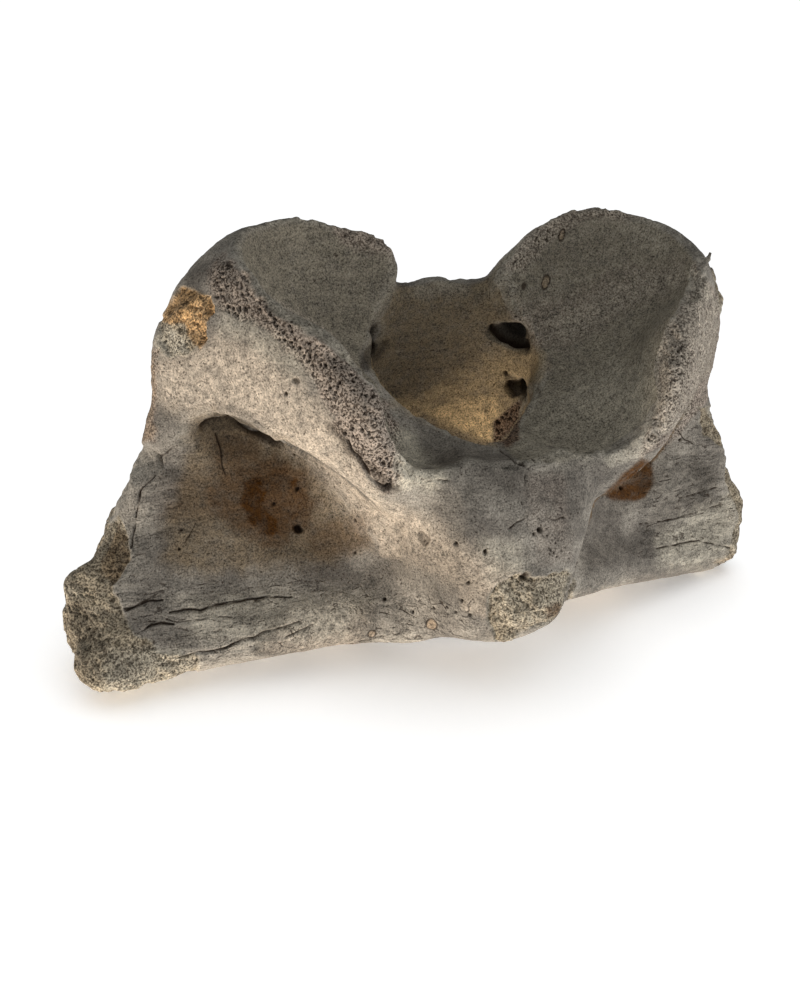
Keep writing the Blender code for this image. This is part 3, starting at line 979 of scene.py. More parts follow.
    def trace(self, path: Path, spacing: float = 4.0) -> tuple[np.ndarray, np.ndarray]:
        """Return the places and normals on the bone along a line of pixels.

        Args:
            path: the line's columns and rows in turn.
            spacing: about how many pixels lie between two places.

        Returns:
            The places and the normals, without the misses.
        """
        pixels = np.reshape(path, (-1, 2))
        found = []
        for start, end in zip(pixels[:-1], pixels[1:]):
            steps = max(1, round(math.dist(start, end) / spacing))
            found += [self.cast(start + k / steps * (end - start)) for k in range(steps)]
        found.append(self.cast(pixels[-1]))
        kept = [hit for hit in found if hit is not None]
        return np.array([h[0] for h in kept]), np.array([h[1] for h in kept])

    def spot(self, surface: Surface, pixel: Pixel,
             reach: float) -> tuple[np.ndarray, np.ndarray, np.ndarray]:
        """Find the spot on the bone that a pixel shows.

        Args:
            surface: the bone, with its zones as far as they are marked.
            pixel: the pixel's column and row.
            reach: half the side of the box round the spot, in millimetres.

        Returns:
            The spot's place, its normal and which points lie in the box.
        """
        hit = self.cast(pixel)
        if hit is None:
            log.info("pixel %s misses the bone", pixel)
            return np.zeros(3), np.zeros(3), np.zeros(0, int)
        return *hit, surface.around(hit[0][None], reach * MM)

    def hill(self, surface: Surface, mark: Push | Pull) -> tuple[np.ndarray, np.ndarray]:
        """Return which points lie round a mark and a hill there: 1 in the middle, 0 at its reach."""
        place, _, near = self.spot(surface, mark.pixel, mark.reach)
        gap = np.linalg.norm(surface.points[near] - place, axis=1) / (mark.reach * MM)
        return near, 1.0 - fade(0.0, 1.0, gap)

    def mark_bends(self, surface: Surface, mesh: bpy.types.Mesh) -> None:
        """Mark convex edges, where the bone is worn, and hollow corners, which are darkened with grime and
        painted shade.

        The mesh is evened out a copy at a time, each point moving to the mean of its
        neighbours. How far a point then stands proud of the even copy tells an edge.
        """
        pairs = read(mesh.edges, "vertices", 2, np.int32)
        first, second = pairs[:, 0], pairs[:, 1]
        count = len(surface.points)
        degree = np.bincount(pairs.ravel(), minlength=count).astype(float)
        even = surface.points.copy()
        for _ in range(self.bend_steps):
            for k in range(3):
                column = even[:, k]
                total = (np.bincount(first, column[second], count)
                         + np.bincount(second, column[first], count))
                even[:, k] = total / degree
        proud = np.einsum("ij,ij->i", surface.points - even, surface.normals)
        surface.zones[Zone.WEAR] = fade(*self.bend_range, proud)
        # Hollow corners take grime and painted shade.
        surface.zones[Zone.GRIME_AND_SHADE] = fade(*self.bend_range, -proud)

    def chips(self, surface: Surface) -> np.ndarray:
        """Return the depth of the chips along the worn edges."""
        bites = fade(*self.chip_range, self.chip.at(surface.points))
        nibbles = np.abs(self.nibble.at(surface.points))
        return surface.zones[Zone.WEAR] * (self.chip_depth * bites + self.nibble_depth * nibbles)

    def relief(self, surface: Surface) -> np.ndarray:
        """Mark the zones and return the height to add along each normal, in metres."""
        points = surface.points
        self.mark_patches(surface)
        self.mark_hollows(surface)
        self.mark_margins(surface)
        height = self.broad_relief * self.broad.at(points) + self.fine_relief * self.fine.at(points)
        height += self.grit_relief * self.grit.at(points)
        height *= 1.0 - self.cup_calm * surface.zones[Zone.CUP]
        for way, form in ((-1.0, self.chips), (1.0, self.fibres), (1.0, self.spongy),
                          (-1.0, self.pores), (-1.0, self.cracks), (-1.0, self.pits),
                          (-1.0, self.rings), (1.0, self.pushes)):
            height += way * form(surface)
        return height

    def sight(self, points: np.ndarray, normals: np.ndarray,
              front: np.ndarray | None) -> tuple[np.ndarray, np.ndarray, np.ndarray]:
        """Work out where points show in the photograph.

        A point shows where it faces the camera, or nearly, and where nothing in its cell of
        pixels lies well before it.

        Args:
            points: places, in metres.
            normals: their normals.
            front: the least depth in each cell, or None to take it from these points.

        Returns:
            The pixels, how fully each point shows, from 0 to 1, and the least depths.
        """
        pixels, depth = self.viewpoint.project(points)
        columns = int(self.viewpoint.width / self.sight_cell) + 1
        rows = int(self.viewpoint.height / self.sight_cell) + 1
        cell = np.clip((pixels / self.sight_cell).astype(int), 0, (columns - 1, rows - 1))
        cell = cell[:, 1] * columns + cell[:, 0]
        if front is None:
            front = np.full(columns * rows, np.inf)
            np.minimum.at(front, cell, depth)
        away = points - self.viewpoint.place()
        facing = -np.einsum("ij,ij->i", away, normals) / np.linalg.norm(away, axis=1)
        behind = fade(self.sight_depth, self.sight_fade * self.sight_depth, depth - front[cell])
        shows = fade(*self.sight_facing, facing) * (1.0 - behind)
        return pixels, shows, front

    def mark_patches(self, surface: Surface) -> None:
        """Mark the patches that were read off the photograph.

        The side that the photograph doesn't show takes the patches of its mirror image, apart
        from the rust.
        """
        points, normals = surface.points, surface.normals
        pixels, shows, front = self.sight(points, normals, None)
        twins = points * MIRROR + np.array([2 * MIDLINE[0], 0.0, 0.0])
        twin_pixels, twin_shows, _ = self.sight(twins, normals * MIRROR, front)
        twin_shows = twin_shows * (1.0 - shows)
        self.hidden = (1.0 - shows) * (1.0 - twin_shows)
        wobble = self.border.at(points)
        sides = [(pixels, shows), (twin_pixels, twin_shows)]
        for zone, patches in PATCHES.items():
            for patch in patches:
                ring = np.reshape(patch.ring, (-1, 2)).astype(float)
                margin = patch.feather + patch.ragged + 1.0
                for places, shown in sides[:1 if zone is Zone.RUST else 2]:
                    near = np.where((shown > FAINT) & np.all(
                        (places > ring.min(0) - margin) & (places < ring.max(0) + margin), axis=1))[0]
                    inside = ring_depth(places[near], ring) + patch.ragged * wobble[near]
                    share = fade(-patch.feather, patch.feather, inside)
                    surface.raise_to(zone, near, patch.strength * shown[near] * share)

    def mark_hollows(self, surface: Surface) -> None:
        """Mark the canal, and the cups where the photograph hides them.

        A point is in the canal where it faces the canal's middle line and lies near it.
        """
        points, normals = surface.points, surface.normals
        high = fade(*self.cup_height, points[:, 2])
        for side in (1, -1):
            for cup in CUPS:
                near = np.abs(cup.level(points, side) - 1.0)
                share = (1.0 - fade(*self.cup_gap, near)) * self.hidden * high
                surface.raise_to(Zone.CUP, slice(None), share)
        middle = np.array(MIDLINE[:2]) + np.array([0.0, self.canal_middle])
        outward = points[:, :2] - middle
        gap = np.linalg.norm(outward, axis=1) + 1e-9
        facing = -np.einsum("ij,ij->i", outward, normals[:, :2]) / gap
        inside = fade(*self.canal_facing, facing) * (1.0 - fade(*self.canal_reach, gap))
        surface.zones[Zone.CANAL] = inside * (1.0 - surface.zones[Zone.CUP])
        surface.zones[Zone.CANAL_LIGHT] *= 1.0 - surface.zones[Zone.CUP]

    def mark_margins(self, surface: Surface) -> None:
        """Mark the sides that don't show: spongy wing edges, worn pores, and fibrous and pale clouds."""
        points, everywhere = surface.points, slice(None)
        for cloud in CLOUDS:
            share = fade(cloud.least, cloud.least + CLOUD_RISE, cloud.noise.at(points))
            surface.raise_to(cloud.zone, everywhere, cloud.strength * self.hidden * share)
        worn = fade(*self.worn_range, self.worn_pores.at(points))
        share = self.worn_strength * self.hidden * surface.zones[Zone.WEAR] * worn
        surface.raise_to(Zone.POROUS, everywhere, share)
        wobble = self.margin_wobble * self.margin_border.at(points)
        for margin in MARGINS:
            edge = np.array(WING_EDGE) * MM * (margin.side, 1, 1) + np.array(MIDLINE)
            gap = line_distance(points, edge) + wobble
            share = 1.0 - fade((margin.reach - 0.5) * MM, margin.reach * MM, gap)
            surface.raise_to(Zone.SPONGY, everywhere, share * self.hidden)

    def fibres(self, surface: Surface) -> np.ndarray:
        """Return fine ridges along the grain: folded noise drawn out in one direction."""
        points = surface.points.copy()
        points[:, 0] = np.abs(points[:, 0] - MIDLINE[0])
        out = np.zeros(len(points))
        grain = np.array(BAR_GRAIN) / np.linalg.norm(BAR_GRAIN)
        for zone, along in ((Zone.FIBROUS, np.array([1.0, 0.0, 0.0])), (Zone.PALE, grain)):
            chosen = np.where(surface.zones[zone] > FAINT)[0]
            some = points[chosen]
            drawn = some - self.fibre_draw * (some @ along)[:, None] * along
            ridges = 1.0 - 2.0 * np.abs(self.fibre.at(drawn))
            out[chosen] += self.fibre_relief * surface.zones[zone][chosen] * ridges
        return out

    def spongy(self, surface: Surface) -> np.ndarray:
        """Return the sunken, lumpy surface with open cells where the spongy inside shows."""
        share = surface.zones[Zone.SPONGY]
        surface.zones[Zone.EDGE] = 4.0 * share * (1.0 - share)
        chosen = np.where(share > TRACE)[0]
        out = np.zeros(len(share))
        some = surface.points[chosen]
        crumbs = self.crumbs.at(some)
        bent = some + self.cell_bend * self.cell_sway.rows(some)
        cells = cell_distance(bent, self.cell_size, self.cell_seed) + self.cell_rough * crumbs
        cells = 1.0 - fade(*self.cell_walls, cells)
        out[chosen] = share[chosen] * (self.spongy_lumps * self.lumps.at(some)
                                       + self.spongy_crumbs * crumbs
                                       - self.spongy_sink - self.spongy_cells * cells)
        # Painted shade in the open cells.
        surface.raise_to(Zone.CREVICE, chosen, self.cell_dark * share[chosen] * cells)
        return out

    def pores(self, surface: Surface) -> np.ndarray:
        """Return the depth of the holes and crumbs in the porous bands, smaller where weak."""
        share = surface.zones[Zone.POROUS]
        chosen = np.where(share > TRACE)[0]
        out = np.zeros(len(share))
        some, strength = surface.points[chosen], share[chosen]
        bent = some + self.pore_bend * self.pore_sway.rows(some)
        shrink = self.uneven_shrink * self.pore_uneven.at(some) + self.weak_shrink * (1.0 - strength)
        holes = 1.0 - fade(*self.pore_walls, cell_distance(bent, self.pore_size, self.pore_seed) + shrink)
        holes *= fade(*self.pore_start, strength)
        crumbs = self.pore_crumb.at(some)
        out[chosen] = self.pore_depth * holes - self.pore_crumbs * strength * crumbs
        # Painted shade in the pores.
        surface.raise_to(Zone.CREVICE, chosen, holes)
        return out

    def cracks(self, surface: Surface) -> np.ndarray:
        """Return the depth of the cracks: a V groove that wanders a little off its line."""
        out = np.zeros(len(surface.points))
        for crack in CRACKS:
            line, facing = self.trace(crack.path)
            if len(line) < 2:
                log.info("crack at %s misses the bone", crack.path[:2])
                continue
            reach = self.crack_reach * crack.width * MM
            near = surface.around(line, 3 * reach)
            some = surface.points[near]
            wander = crack.wander * MM * self.crack_sway.rows(some)
            gap = line_distance(some + wander, line) / reach
            ends = self.crack_strength + self.crack_unevenness * self.crack_fading.at(some)
            share = (1.0 - fade(0.0, 1.0, gap)) * ends * (surface.normals[near] @ facing.mean(0) > 0)
            out[near] += crack.depth * MM * share
            # Painted shade in the cracks' grooves.
            surface.raise_to(Zone.CREVICE, near, crack.tint * fade(*self.crack_dark, share))
        return out

    def pits(self, surface: Surface) -> np.ndarray:
        """Return the depth of the single holes, each an uneven round well."""
        out = np.zeros(len(surface.points))
        for pit in PITS:
            place, facing, near = self.spot(surface, pit.pixel, 2 * pit.radius)
            some = surface.points[near]
            gap = np.linalg.norm(some - place, axis=1) / (pit.radius * MM)
            gap += self.pit_uneven * value_noise(some, self.pit_grain * pit.radius * MM, self.pit_seed)
            share = (1.0 - fade(*self.pit_walls, gap)) * (surface.normals[near] @ facing > 0)
            out[near] = np.maximum(out[near], pit.depth * MM * share)
            # Painted shade in the pits.
            surface.raise_to(Zone.CREVICE, near, pit.tint * share)
        return out

    def rings(self, surface: Surface) -> np.ndarray:
        """Return the depth of the ring marks: a shallow groove round an uneven, leaning oval."""
        out = np.zeros(len(surface.points))
        right, up, forward = self.viewpoint.axes()
        for ring in RINGS:
            place, _, near = self.spot(surface, ring.pixel, 2 * (ring.radius + ring.width))
            some = surface.points[near]
            away = (some - place) / MM
            tall, wide = away @ (up + self.ring_lean * right), away @ (right - self.ring_lean * up)
            gap = np.sqrt(tall ** 2 + (wide / ring.narrow) ** 2
                          + self.ring_flat * (away @ forward) ** 2)
            gap += self.ring_wobble * self.ring_uneven.at(some) - ring.radius
            inside = 1.0 - fade(-self.ring_border, 0.0, gap)
            surface.raise_to(Zone.RUST, near, self.ring_rust * inside)
            inner, outer = (wall * ring.width for wall in self.ring_walls)
            share = 1.0 - fade(inner, outer, np.abs(gap))
            out[near] = np.maximum(out[near], self.ring_depth * share)
            surface.raise_to(Zone.CREVICE, near, self.ring_dark * share)
        return out

    def pushes(self, surface: Surface) -> np.ndarray:
        """Return the height of the single bulges and dents, each a smooth round hill."""
        out = np.zeros(len(surface.points))
        for push in PUSHES:
            near, share = self.hill(surface, push)
            out[near] += push.height * MM * share
        return out

    def pulls(self, surface: Surface) -> np.ndarray:
        """Return how far each point is shoved: the pulls' ways, each fading out to its reach."""
        out = np.zeros_like(surface.points)
        right, up, _ = self.viewpoint.axes()
        for pull in PULLS:
            near, share = self.hill(surface, pull)
            way = pull.right * right + pull.up * up + np.array(pull.way)
            out[near] += MM * way * share[:, None]
        return out


@dataclass
class RimSplinter:
    """A thin splinter that stands up from the rim of the right-hand cup."""

    atlas: WeatheredAtlas
    foot: Pixel = (702.0, 266.0)
    tip: Pixel = (711.0, 251.0)
    thickness: float = 0.8 * MM
    flatness: float = 0.6
    bluntness: float = 0.12
    root: float = -0.25
    sunk: float = 0.4 * MM
    bend: float = 0.5 * MM
    rough: Noise = Noise(0.5, 1, 120)
    roughness: float = 0.12 * MM
    rounds: int = 10
    rings: int = 16

    def build(self) -> bpy.types.Object:
        """Make the splinter: rings of shrinking, uneven radius along a bent line, capped.

        The line runs from under the rim to the tip and bends by a parabola. A ring's radius is
        the thickness times the square root of one less the share of the way.
        """
        viewpoint = self.atlas.viewpoint
        place, facing = self.atlas.cast(self.foot)
        depth = viewpoint.project(place[None])[1][0]
        right, up, _ = viewpoint.axes()
        span = depth / viewpoint.focal
        way = ((self.tip[0] - self.foot[0]) * right - (self.tip[1] - self.foot[1]) * up) * span
        share = np.linspace(self.root, 1.0, self.rings)
        bend = self.bend * (share - share ** 2)
        line = place - self.sunk * facing + share[:, None] * way + bend[:, None] * right
        side = np.cross(way, facing)
        side = side / np.linalg.norm(side)
        other = np.cross(side, way / np.linalg.norm(way))
        turn = np.linspace(0.0, 2 * math.pi, self.rounds, endpoint=False)
        radius = self.thickness * np.clip(1.0 - share, self.bluntness, 1.0) ** 0.5
        ring = np.cos(turn)[:, None] * side + self.flatness * np.sin(turn)[:, None] * other
        points = (line[:, None, :] + radius[:, None, None] * ring[None]).reshape(-1, 3)
        points = points + self.roughness * self.rough.rows(points)
        low, high = np.arange(self.rings - 1), np.arange(self.rounds)
        a = (low[:, None] * self.rounds + high).ravel()
        b = (low[:, None] * self.rounds + (high + 1) % self.rounds).ravel()
        faces = np.stack([a, b, b + self.rounds, a + self.rounds], -1).tolist()
        faces.append(list(range(self.rounds))[::-1])
        faces.append(list(range((self.rings - 1) * self.rounds, self.rings * self.rounds)))
        mesh = bpy.data.meshes.new("rim_splinter")
        mesh.from_pydata(points.tolist(), [], faces)
        bm = bmesh.new()
        bm.from_mesh(mesh)
        bmesh.ops.recalc_face_normals(bm, faces=bm.faces)
        bm.to_mesh(mesh)
        bm.free()
        mesh.shade_smooth()
        return add_object("rim_splinter", mesh)


# Finishes


class Sheet:
    """A node tree being drawn up: short calls that add a node and return its output."""

    def __init__(self, tree: bpy.types.NodeTree) -> None:
        """Start on a tree."""
        self.tree = tree

    def put(self, value: Value, socket: bpy.types.NodeSocket) -> None:
        """Link an output to a socket, or set the socket to a number or colour."""
        if isinstance(value, bpy.types.NodeSocket):
            self.tree.links.new(value, socket)
        elif isinstance(value, tuple) and len(value) == 3 and socket.type == "RGBA":
            socket.default_value = (*value, 1.0)
        else:
            socket.default_value = value

    def node(self, kind: str, sockets: dict[str | int, Value] | None = None,
             **settings: str | int) -> bpy.types.Node:
        """Add a node with its settings and the values of its inputs, by name or number."""
        made = self.tree.nodes.new(kind)
        for name, value in settings.items():
            setattr(made, name, value)
        for name, value in (sockets or {}).items():
            self.put(value, made.inputs[name])
        return made

    def math(self, operation: str, a: Value, b: Value = 0.0, c: Value = 0.0) -> Value:
        """Return a sum, product or other measure of two or three values."""
        return self.node("ShaderNodeMath", {0: a, 1: b, 2: c}, operation=operation).outputs[0]

    def times(self, a: Value, b: Value) -> Value:
        """Return the product of two values."""
        return self.math("MULTIPLY", a, b)

    def vector(self, operation: str, a: Value, b: Value) -> Value:
        """Return a sum or product of two vectors."""
        return self.node("ShaderNodeVectorMath", {0: a, 1: b}, operation=operation).outputs[0]

    def most(self, *values: Value) -> Value:
        """Return the greatest of some values."""
        best = values[0]
        for value in values[1:]:
            best = self.math("MAXIMUM", best, value)
        return best

    def step(self, value: Value, low: float, high: float, out_low: float = 0.0,
             out_high: float = 1.0) -> Value:
        """Return a smooth step of a value from out_low, at low, to out_high, at high."""
        return self.node("ShaderNodeMapRange", {"Value": value, "From Min": low, "From Max": high,
                                                "To Min": out_low, "To Max": out_high},
                         interpolation_type="SMOOTHSTEP").outputs[0]

    def mix(self, share: Value, a: Value, b: Value, blend: str = "MIX") -> Value:
        """Return one colour with a share of another blended into it."""
        made = self.node("ShaderNodeMix", data_type="RGBA", blend_type=blend)
        self.put(share, made.inputs[0])
        self.put(a, made.inputs[6])
        self.put(b, made.inputs[7])
        return made.outputs[2]

    def blend(self, share: Value, a: Value, b: Value) -> Value:
        """Return one number blended into another."""
        return self.node("ShaderNodeMix", {0: share, 2: a, 3: b}, data_type="FLOAT").outputs[0]

    def noise(self, vector: Value, scale: Value, detail: float = 3.0, rough: float = 0.55) -> Value:
        """Return cloudy noise from 0 to 1."""
        return self.node("ShaderNodeTexNoise", {"Vector": vector, "Scale": scale,
                                                "Detail": detail, "Roughness": rough}).outputs[0]

    def zone(self, zone: Zone) -> Value:
        """Return a zone's strength on the piece."""
        return self.node("ShaderNodeAttribute", attribute_name=zone.value).outputs["Fac"]

    def group(self, group: bpy.types.NodeTree, sockets: dict[str, Value]) -> bpy.types.Node:
        """Place a node group with the values of its inputs, by name."""
        made = self.tree.nodes.new("ShaderNodeGroup")
        made.node_tree = group
        for name, value in sockets.items():
            self.put(value, made.inputs[name])
        return made


def new_group(name: str, inputs: dict[str, float | Triple], outputs: tuple[str, ...]) -> tuple:
    """Return an empty node group with its sockets, its sheet and its two end nodes.

    Args:
        name: the group's name.
        inputs: the default of each number or vector.
        outputs: the names of the values that it puts out.

    Returns:
        The group, its sheet, the outputs of its input node and the inputs of its output node.
    """
    group = bpy.data.node_groups.new(name, "ShaderNodeTree")
    for label, start in inputs.items():
        kind = "NodeSocketVector" if isinstance(start, tuple) else "NodeSocketFloat"
        made = group.interface.new_socket(label, in_out="INPUT", socket_type=kind)
        made.default_value = start
    for label in outputs:
        group.interface.new_socket(label, in_out="OUTPUT", socket_type="NodeSocketFloat")
    sheet = Sheet(group)
    start = group.nodes.new("NodeGroupInput").outputs
    end = group.nodes.new("NodeGroupOutput").inputs
    return group, sheet, start, end


def grain_group() -> bpy.types.NodeTree:
    """Return streaks and hairline cracks along the bone's grain.

    The place loses most of its length along the grain, so that noise and cells draw out into
    streaks. A hairline is the border between two such cells, broken up by broad noise.

    Returns:
        The group, which puts out Streak and Hairline.
    """
    group, sheet, start, end = new_group(
        "bone_grain", {"Vector": (0.0, 0.0, 0.0), "Grain": (1.0, 0.0, 0.0), "Scale": 900.0,
                       "Broad": 0.5}, ("Streak", "Hairline"))
    sway = sheet.node("ShaderNodeTexNoise", {"Vector": start["Vector"], "Scale": 200.0,
                                             "Detail": 1.0}).outputs[1]
    sway = sheet.node("ShaderNodeVectorMath", {0: sway, "Scale": 2.0 * MM},
                      operation="SCALE").outputs[0]
    place = sheet.vector("ADD", start["Vector"], sway)
    along = sheet.node("ShaderNodeVectorMath", {0: place, 1: start["Grain"]},
                       operation="DOT_PRODUCT").outputs["Value"]
    along = sheet.node("ShaderNodeVectorMath",
                       {0: start["Grain"], "Scale": sheet.times(along, 0.9)},
                       operation="SCALE").outputs[0]
    drawn = sheet.vector("SUBTRACT", place, along)
    sheet.put(sheet.noise(drawn, start["Scale"], 4.0, 0.75), end["Streak"])
    border = sheet.node("ShaderNodeTexVoronoi", {"Vector": drawn, "Scale": 420.0},
                        feature="DISTANCE_TO_EDGE").outputs["Distance"]
    line = sheet.step(border, 0.0, 0.05, 1.0, 0.0)
    sheet.put(sheet.times(line, sheet.step(start["Broad"], 0.5, 0.62)), end["Hairline"])
    return group


def pore_group() -> bpy.types.NodeTree:
    """Return small uneven pores: the peaks of fine noise, thinned out by a broad value."""
    group, sheet, start, end = new_group(
        "bone_pores", {"Vector": (0.0, 0.0, 0.0), "Scale": 1600.0, "Level": 0.64, "Broad": 0.5,
                       "Least": 0.5}, ("Pore",))
    fine = sheet.noise(start["Vector"], start["Scale"], 1.0, 0.5)
    spot = sheet.step(sheet.math("SUBTRACT", fine, start["Level"]), 0.0, 0.04)
    patch = sheet.step(sheet.math("SUBTRACT", start["Broad"], start["Least"]), -0.06, 0.08)
    sheet.put(sheet.times(spot, patch), end["Pore"])
    return group


@dataclass(frozen=True)
class Tint:
    """A zone's colour, as linear red, green and blue, and how fully it covers at most."""

    zone: Zone
    colour: Colour
    cover: float


@dataclass(frozen=True)
class PoreField:
    """Fine pores: the scale and level of their noise, and from which broad value they start."""

    scale: float
    level: float
    least: float


@dataclass(frozen=True)
class BoneFinish:
    """Matt old bone: two clouded tones, the zones' tints, pores, and grain along the bone.

    Its methods draw on the sheet of the material. Place is the place on the object, mottle
    the clouds of middling size, broad the largest clouds and fine the smallest grains.
    """

    light: Colour = (0.385, 0.345, 0.29)
    dull: Colour = (0.19, 0.168, 0.142)
    # Near-black brown of the painted shade in pores, hairlines, cracks, pits and spongy cells, also used
    # for the ring marks' lines.
    hollow_shade: Colour = (0.034, 0.020, 0.012)
    tints: tuple[Tint, ...] = (
        Tint(Zone.PALE, (0.505, 0.423, 0.333), 0.95),
        Tint(Zone.FOSSA, (0.245, 0.182, 0.112), 0.92),
        Tint(Zone.CANAL, (0.235, 0.183, 0.115), 0.9),
        Tint(Zone.CUP, (0.30, 0.262, 0.198), 0.94),
        Tint(Zone.WEAR, (0.46, 0.42, 0.35), 0.45),
        # Painted light: the warm glow inside the canal.
        Tint(Zone.CANAL_LIGHT, (0.84, 0.62, 0.34), 0.9),
        Tint(Zone.POROUS, (0.52, 0.42, 0.34), 0.8),
        Tint(Zone.SPONGY, (0.48, 0.40, 0.285), 1.0),
        # Bleached bone, and painted light where the bone is painted as more brightly lit.
        Tint(Zone.BLEACH_AND_LIGHT, (0.65, 0.585, 0.465), 1.0),
        Tint(Zone.EDGE, (0.55, 0.50, 0.41), 0.6),
        Tint(Zone.RUST, (0.70, 0.42, 0.185), 0.9),
        Tint(Zone.STAIN, (0.103, 0.038, 0.004), 1.0),
        # Soil, and painted shade under the bar, in holes and on shaded slopes.
        Tint(Zone.SOIL_AND_SHADE, (0.055, 0.042, 0.028), 0.8),
        # Grime and painted shade in hollow corners.
        Tint(Zone.GRIME_AND_SHADE, (0.055, 0.042, 0.028), 0.4),
    )
    broad_scale: float = 85.0
    mottle_scale: float = 480.0
    fine_scale: float = 3000.0
    specks: PoreField = PoreField(2500.0, 0.65, 0.45)
    open_pores: PoreField = PoreField(2700.0, 0.535, 0.3)
    streak_tone: float = 0.42
    fine_tone: float = 0.46
    shaded_boost: float = 1.25
    crevice_cover: float = 0.93
    hole_cover: float = 0.8
    pale_grain: float = 0.8
    least_grain: float = 0.35
    gloss: float = 0.14
    roughness: tuple[float, float] = (0.72, 0.95)
    cloud_relief: float = 0.35
    streak_relief: float = 0.9
    hole_relief: float = 0.9
    bump: float = 0.4 * MM
    bump_strength: float = 0.9

    def make(self) -> bpy.types.Material:
        """Return the material."""
        made = bpy.data.materials.new("weathered_bone")
        made.use_nodes = True
        sheet = Sheet(made.node_tree)
        shader = made.node_tree.nodes["Principled BSDF"].inputs
        place = sheet.node("ShaderNodeTexCoord").outputs["Object"]
        mottle = sheet.noise(place, self.mottle_scale, 4.0, 0.65)
        fine = sheet.noise(place, self.fine_scale, 2.0, 0.7)
        lines = sheet.group(grain_group(), {"Vector": place, "Grain": self.grain(sheet, place),
                                            "Broad": mottle}).outputs
        grained = sheet.most(sheet.zone(Zone.FIBROUS), sheet.times(sheet.zone(Zone.PALE),
                                                                   self.pale_grain), self.least_grain)
        lift = self.lift(sheet, mottle, fine, sheet.times(grained, self.ridged(sheet, lines[0])))
        hole = self.holes(sheet, place, mottle, sheet.times(lines[1], sheet.zone(Zone.FIBROUS)))

        colour = self.painted(sheet, sheet.noise(place, self.broad_scale, 3.0), mottle)
        tone = sheet.node("ShaderNodeCombineXYZ", {0: lift, 1: lift, 2: lift}).outputs[0]
        colour = sheet.mix(1.0, colour, tone, "MULTIPLY")
        # Pores, hairlines and crevices are darkened towards near-black: painted shade inside holes and
        # cracks, and the ring marks' dark lines.
        dark = sheet.most(sheet.times(hole, self.hole_cover),
                          sheet.times(sheet.zone(Zone.CREVICE), self.crevice_cover))
        sheet.put(sheet.mix(dark, colour, self.hollow_shade), shader["Base Color"])
        sheet.put(sheet.step(mottle, 0.2, 0.8, *self.roughness), shader["Roughness"])
        shader["Specular IOR Level"].default_value = self.gloss

        relief = sheet.times(sheet.math("ADD", mottle, fine), self.cloud_relief)
        relief = sheet.math("MULTIPLY_ADD", lines[0], sheet.times(grained, self.streak_relief), relief)
        relief = sheet.math("SUBTRACT", relief, sheet.times(hole, self.hole_relief))
        bump = sheet.node("ShaderNodeBump", {"Height": relief, "Distance": self.bump,
                                             "Strength": self.bump_strength})
        sheet.put(bump.outputs[0], shader["Normal"])
        return made

    def grain(self, sheet: Sheet, place: Value) -> Value:
        """Return the way of the grain: across the bone, and along the bars where it is pale."""
        x = sheet.node("ShaderNodeSeparateXYZ", {0: place}).outputs[0]
        side = sheet.math("SIGN", sheet.math("SUBTRACT", x, MIDLINE[0]))
        along, up, out = BAR_GRAIN
        bar = sheet.node("ShaderNodeCombineXYZ", {0: sheet.times(side, along), 1: up, 2: out})
        way = sheet.node("ShaderNodeMix", data_type="VECTOR")
        sheet.put(sheet.zone(Zone.PALE), way.inputs[0])
        sheet.put((1.0, 0.0, 0.0), way.inputs[4])
        sheet.put(bar.outputs[0], way.inputs[5])
        return way.outputs[1]

    def ridged(self, sheet: Sheet, streak: Value) -> Value:
        """Return the streaks as a tone above or below nothing."""
        return sheet.step(streak, 0.3, 0.7, -self.streak_tone, self.streak_tone)

    def lift(self, sheet: Sheet, mottle: Value, fine: Value, streaks: Value) -> Value:
        """Return how much lighter or darker the bone is: clouds, grains and streaks together."""
        shaded = sheet.most(sheet.zone(Zone.CUP), sheet.zone(Zone.FOSSA), sheet.zone(Zone.CANAL))
        grains = sheet.step(fine, 0.25, 0.75, -self.fine_tone, self.fine_tone)
        boost = sheet.step(shaded, 0.0, 1.0, 1.0, self.shaded_boost)
        return sheet.math("MULTIPLY_ADD", sheet.math("ADD", streaks, grains), boost,
                          sheet.step(mottle, 0.28, 0.72, 0.78, 1.2))

    def holes(self, sheet: Sheet, place: Value, mottle: Value, hairline: Value) -> Value:
        """Return where pores and hairlines open: sparse specks, and more in porous bone."""
        group, fields = pore_group(), []
        for pores in (self.specks, self.open_pores):
            fields.append(sheet.group(group, {
                "Vector": place, "Scale": pores.scale, "Level": pores.level, "Broad": mottle,
                "Least": pores.least}).outputs[0])
        spongy = sheet.zone(Zone.SPONGY)
        porous = sheet.math("SUBTRACT", sheet.most(sheet.zone(Zone.POROUS), spongy),
                            sheet.times(spongy, 0.15))
        return sheet.most(sheet.times(fields[0], 0.8), sheet.times(fields[1], porous), hairline)

    def painted(self, sheet: Sheet, broad: Value, mottle: Value) -> Value:
        """Return the bone's colour with each zone's own tint laid over the last."""
        colour = sheet.mix(sheet.step(broad, 0.34, 0.66), self.dull, self.light)
        for tint in self.tints:
            share = sheet.times(sheet.zone(tint.zone), sheet.step(mottle, 0.3, 0.6, 0.72 * tint.cover,
                                                                  tint.cover))
            colour = sheet.mix(share, colour, tint.colour)
        return colour


# Floor and light


@dataclass(frozen=True)
class Lamp:
    """One soft round light: the direction it lies in, its power in watts and its colour."""

    name: str
    direction: Triple
    power: float
    colour: Colour = WHITE


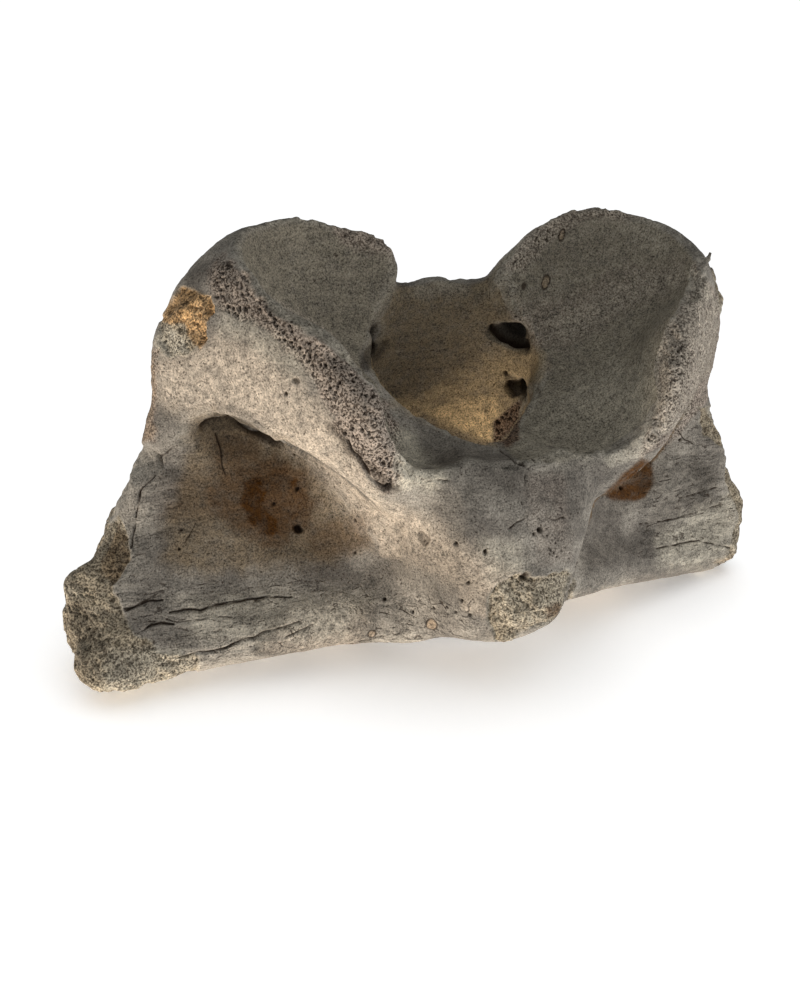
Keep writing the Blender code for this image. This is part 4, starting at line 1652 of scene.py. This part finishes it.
@dataclass
class Studio:
    """A plain pale floor, an even sky and large soft lights, the main ones low on the left."""

    floor_size: float = 30.0
    floor_colour: Colour = (0.86, 0.86, 0.86)
    floor_glow: float = 0.62
    floor_shown: float = 0.82
    shade_reach: float = 0.03
    shade: tuple[float, float] = (0.15, 0.2)
    sky: Colour = (0.95, 0.98, 1.0)
    sky_strength: float = 0.30
    sky_shown: float = 1.0
    lamp_size: float = 0.16
    lamp_distance: float = 0.42
    target: Triple = (-0.01, 0.0, 0.035)
    lamps: tuple[Lamp, ...] = (
        Lamp("low_key", (-0.5, -0.2, -0.85), 0.75, (1.0, 0.88, 0.74)),
        Lamp("side_key", (-0.8, -0.3, -0.5), 0.75, (1.0, 0.88, 0.74)),
        Lamp("right_fill", (0.8, -0.6, 0.0), 0.4),
        Lamp("left_back", (-0.95, 0.25, -0.2), 0.15),
    )

    def build(self) -> None:
        """Add the floor, the sky and the lights."""
        self.floor()
        world = bpy.data.worlds.new("sky")
        world.use_nodes = True
        sheet = Sheet(world.node_tree)
        back = world.node_tree.nodes["Background"].inputs
        seen = sheet.node("ShaderNodeLightPath").outputs["Is Camera Ray"]
        sheet.put(sheet.mix(seen, self.sky, WHITE), back["Color"])
        sheet.put(sheet.blend(seen, self.sky_strength, self.sky_shown), back["Strength"])
        bpy.context.scene.world = world
        for lamp in self.lamps:
            self.hang(lamp)
        bpy.context.scene.view_settings.view_transform = "Standard"

    def hang(self, lamp: Lamp) -> None:
        """Add one light, turned towards the bone."""
        data = bpy.data.lights.new(lamp.name, "AREA")
        data.shape = "DISK"
        data.size = self.lamp_size
        data.energy = lamp.power
        data.color = lamp.colour
        data.cycles.use_multiple_importance_sampling = False
        light = add_object(lamp.name, data)
        towards = Vector(lamp.direction).normalized()
        place = Vector(self.target) + towards * self.lamp_distance
        turn = (-towards).to_track_quat("-Z", "Y").to_matrix().to_4x4()
        light.matrix_world = Matrix.Translation(place) @ turn

    def floor(self) -> None:
        """Add the floor as one large square, which glows softly and lets the lights through. As the camera
        sees it, the glow is dimmed near the bone by ambient occlusion: a painted contact shadow.
        """
        half = self.floor_size / 2
        corners = [(-half, -half, 0), (half, -half, 0), (half, half, 0), (-half, half, 0)]
        mesh = bpy.data.meshes.new("floor")
        mesh.from_pydata(corners, [], [(0, 1, 2, 3)])
        floor = add_object("floor", mesh)
        made = bpy.data.materials.new("pale_floor")
        made.use_nodes = True
        sheet = Sheet(made.node_tree)
        seen = sheet.node("ShaderNodeLightPath").outputs["Is Camera Ray"]
        # Painted contact shadow: ambient occlusion dims the floor's glow near the bone, as the camera sees
        # it.
        near = sheet.node("ShaderNodeAmbientOcclusion", {"Distance": self.shade_reach}, samples=8)
        low, least = self.shade
        shown = sheet.step(near.outputs["AO"], low, 1.0, least, self.floor_shown)
        values = {"Base Color": self.floor_colour, "Roughness": 1.0, "Specular IOR Level": 0.0,
                  "Emission Color": WHITE,
                  "Emission Strength": sheet.blend(seen, self.floor_glow, shown)}
        for name, value in values.items():
            sheet.put(value, made.node_tree.nodes["Principled BSDF"].inputs[name])
        mesh.materials.append(made)
        floor.visible_shadow = False


def report(piece: bpy.types.Object) -> None:
    """Log a piece's name and size."""
    piece.data.calc_loop_triangles()
    log.info("%s: %d triangles", piece.name, len(piece.data.loop_triangles))


def main() -> None:
    """Build the scene in order."""
    logging.basicConfig(level=logging.INFO, format="%(name)s %(message)s")
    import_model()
    viewpoint = Viewpoint()
    viewpoint.make_camera()
    atlas = WeatheredAtlas(viewpoint)
    pieces = atlas.build()
    pieces.append(RimSplinter(atlas).build())
    finish = BoneFinish().make()
    for piece in pieces:
        piece.data.materials.clear()
        piece.data.materials.append(finish)
        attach(piece, BODY)
        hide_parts(NODE)
        report(piece)
    Studio().build()
    bpy.context.view_layer.update()


if __name__ == "__main__":
    main()
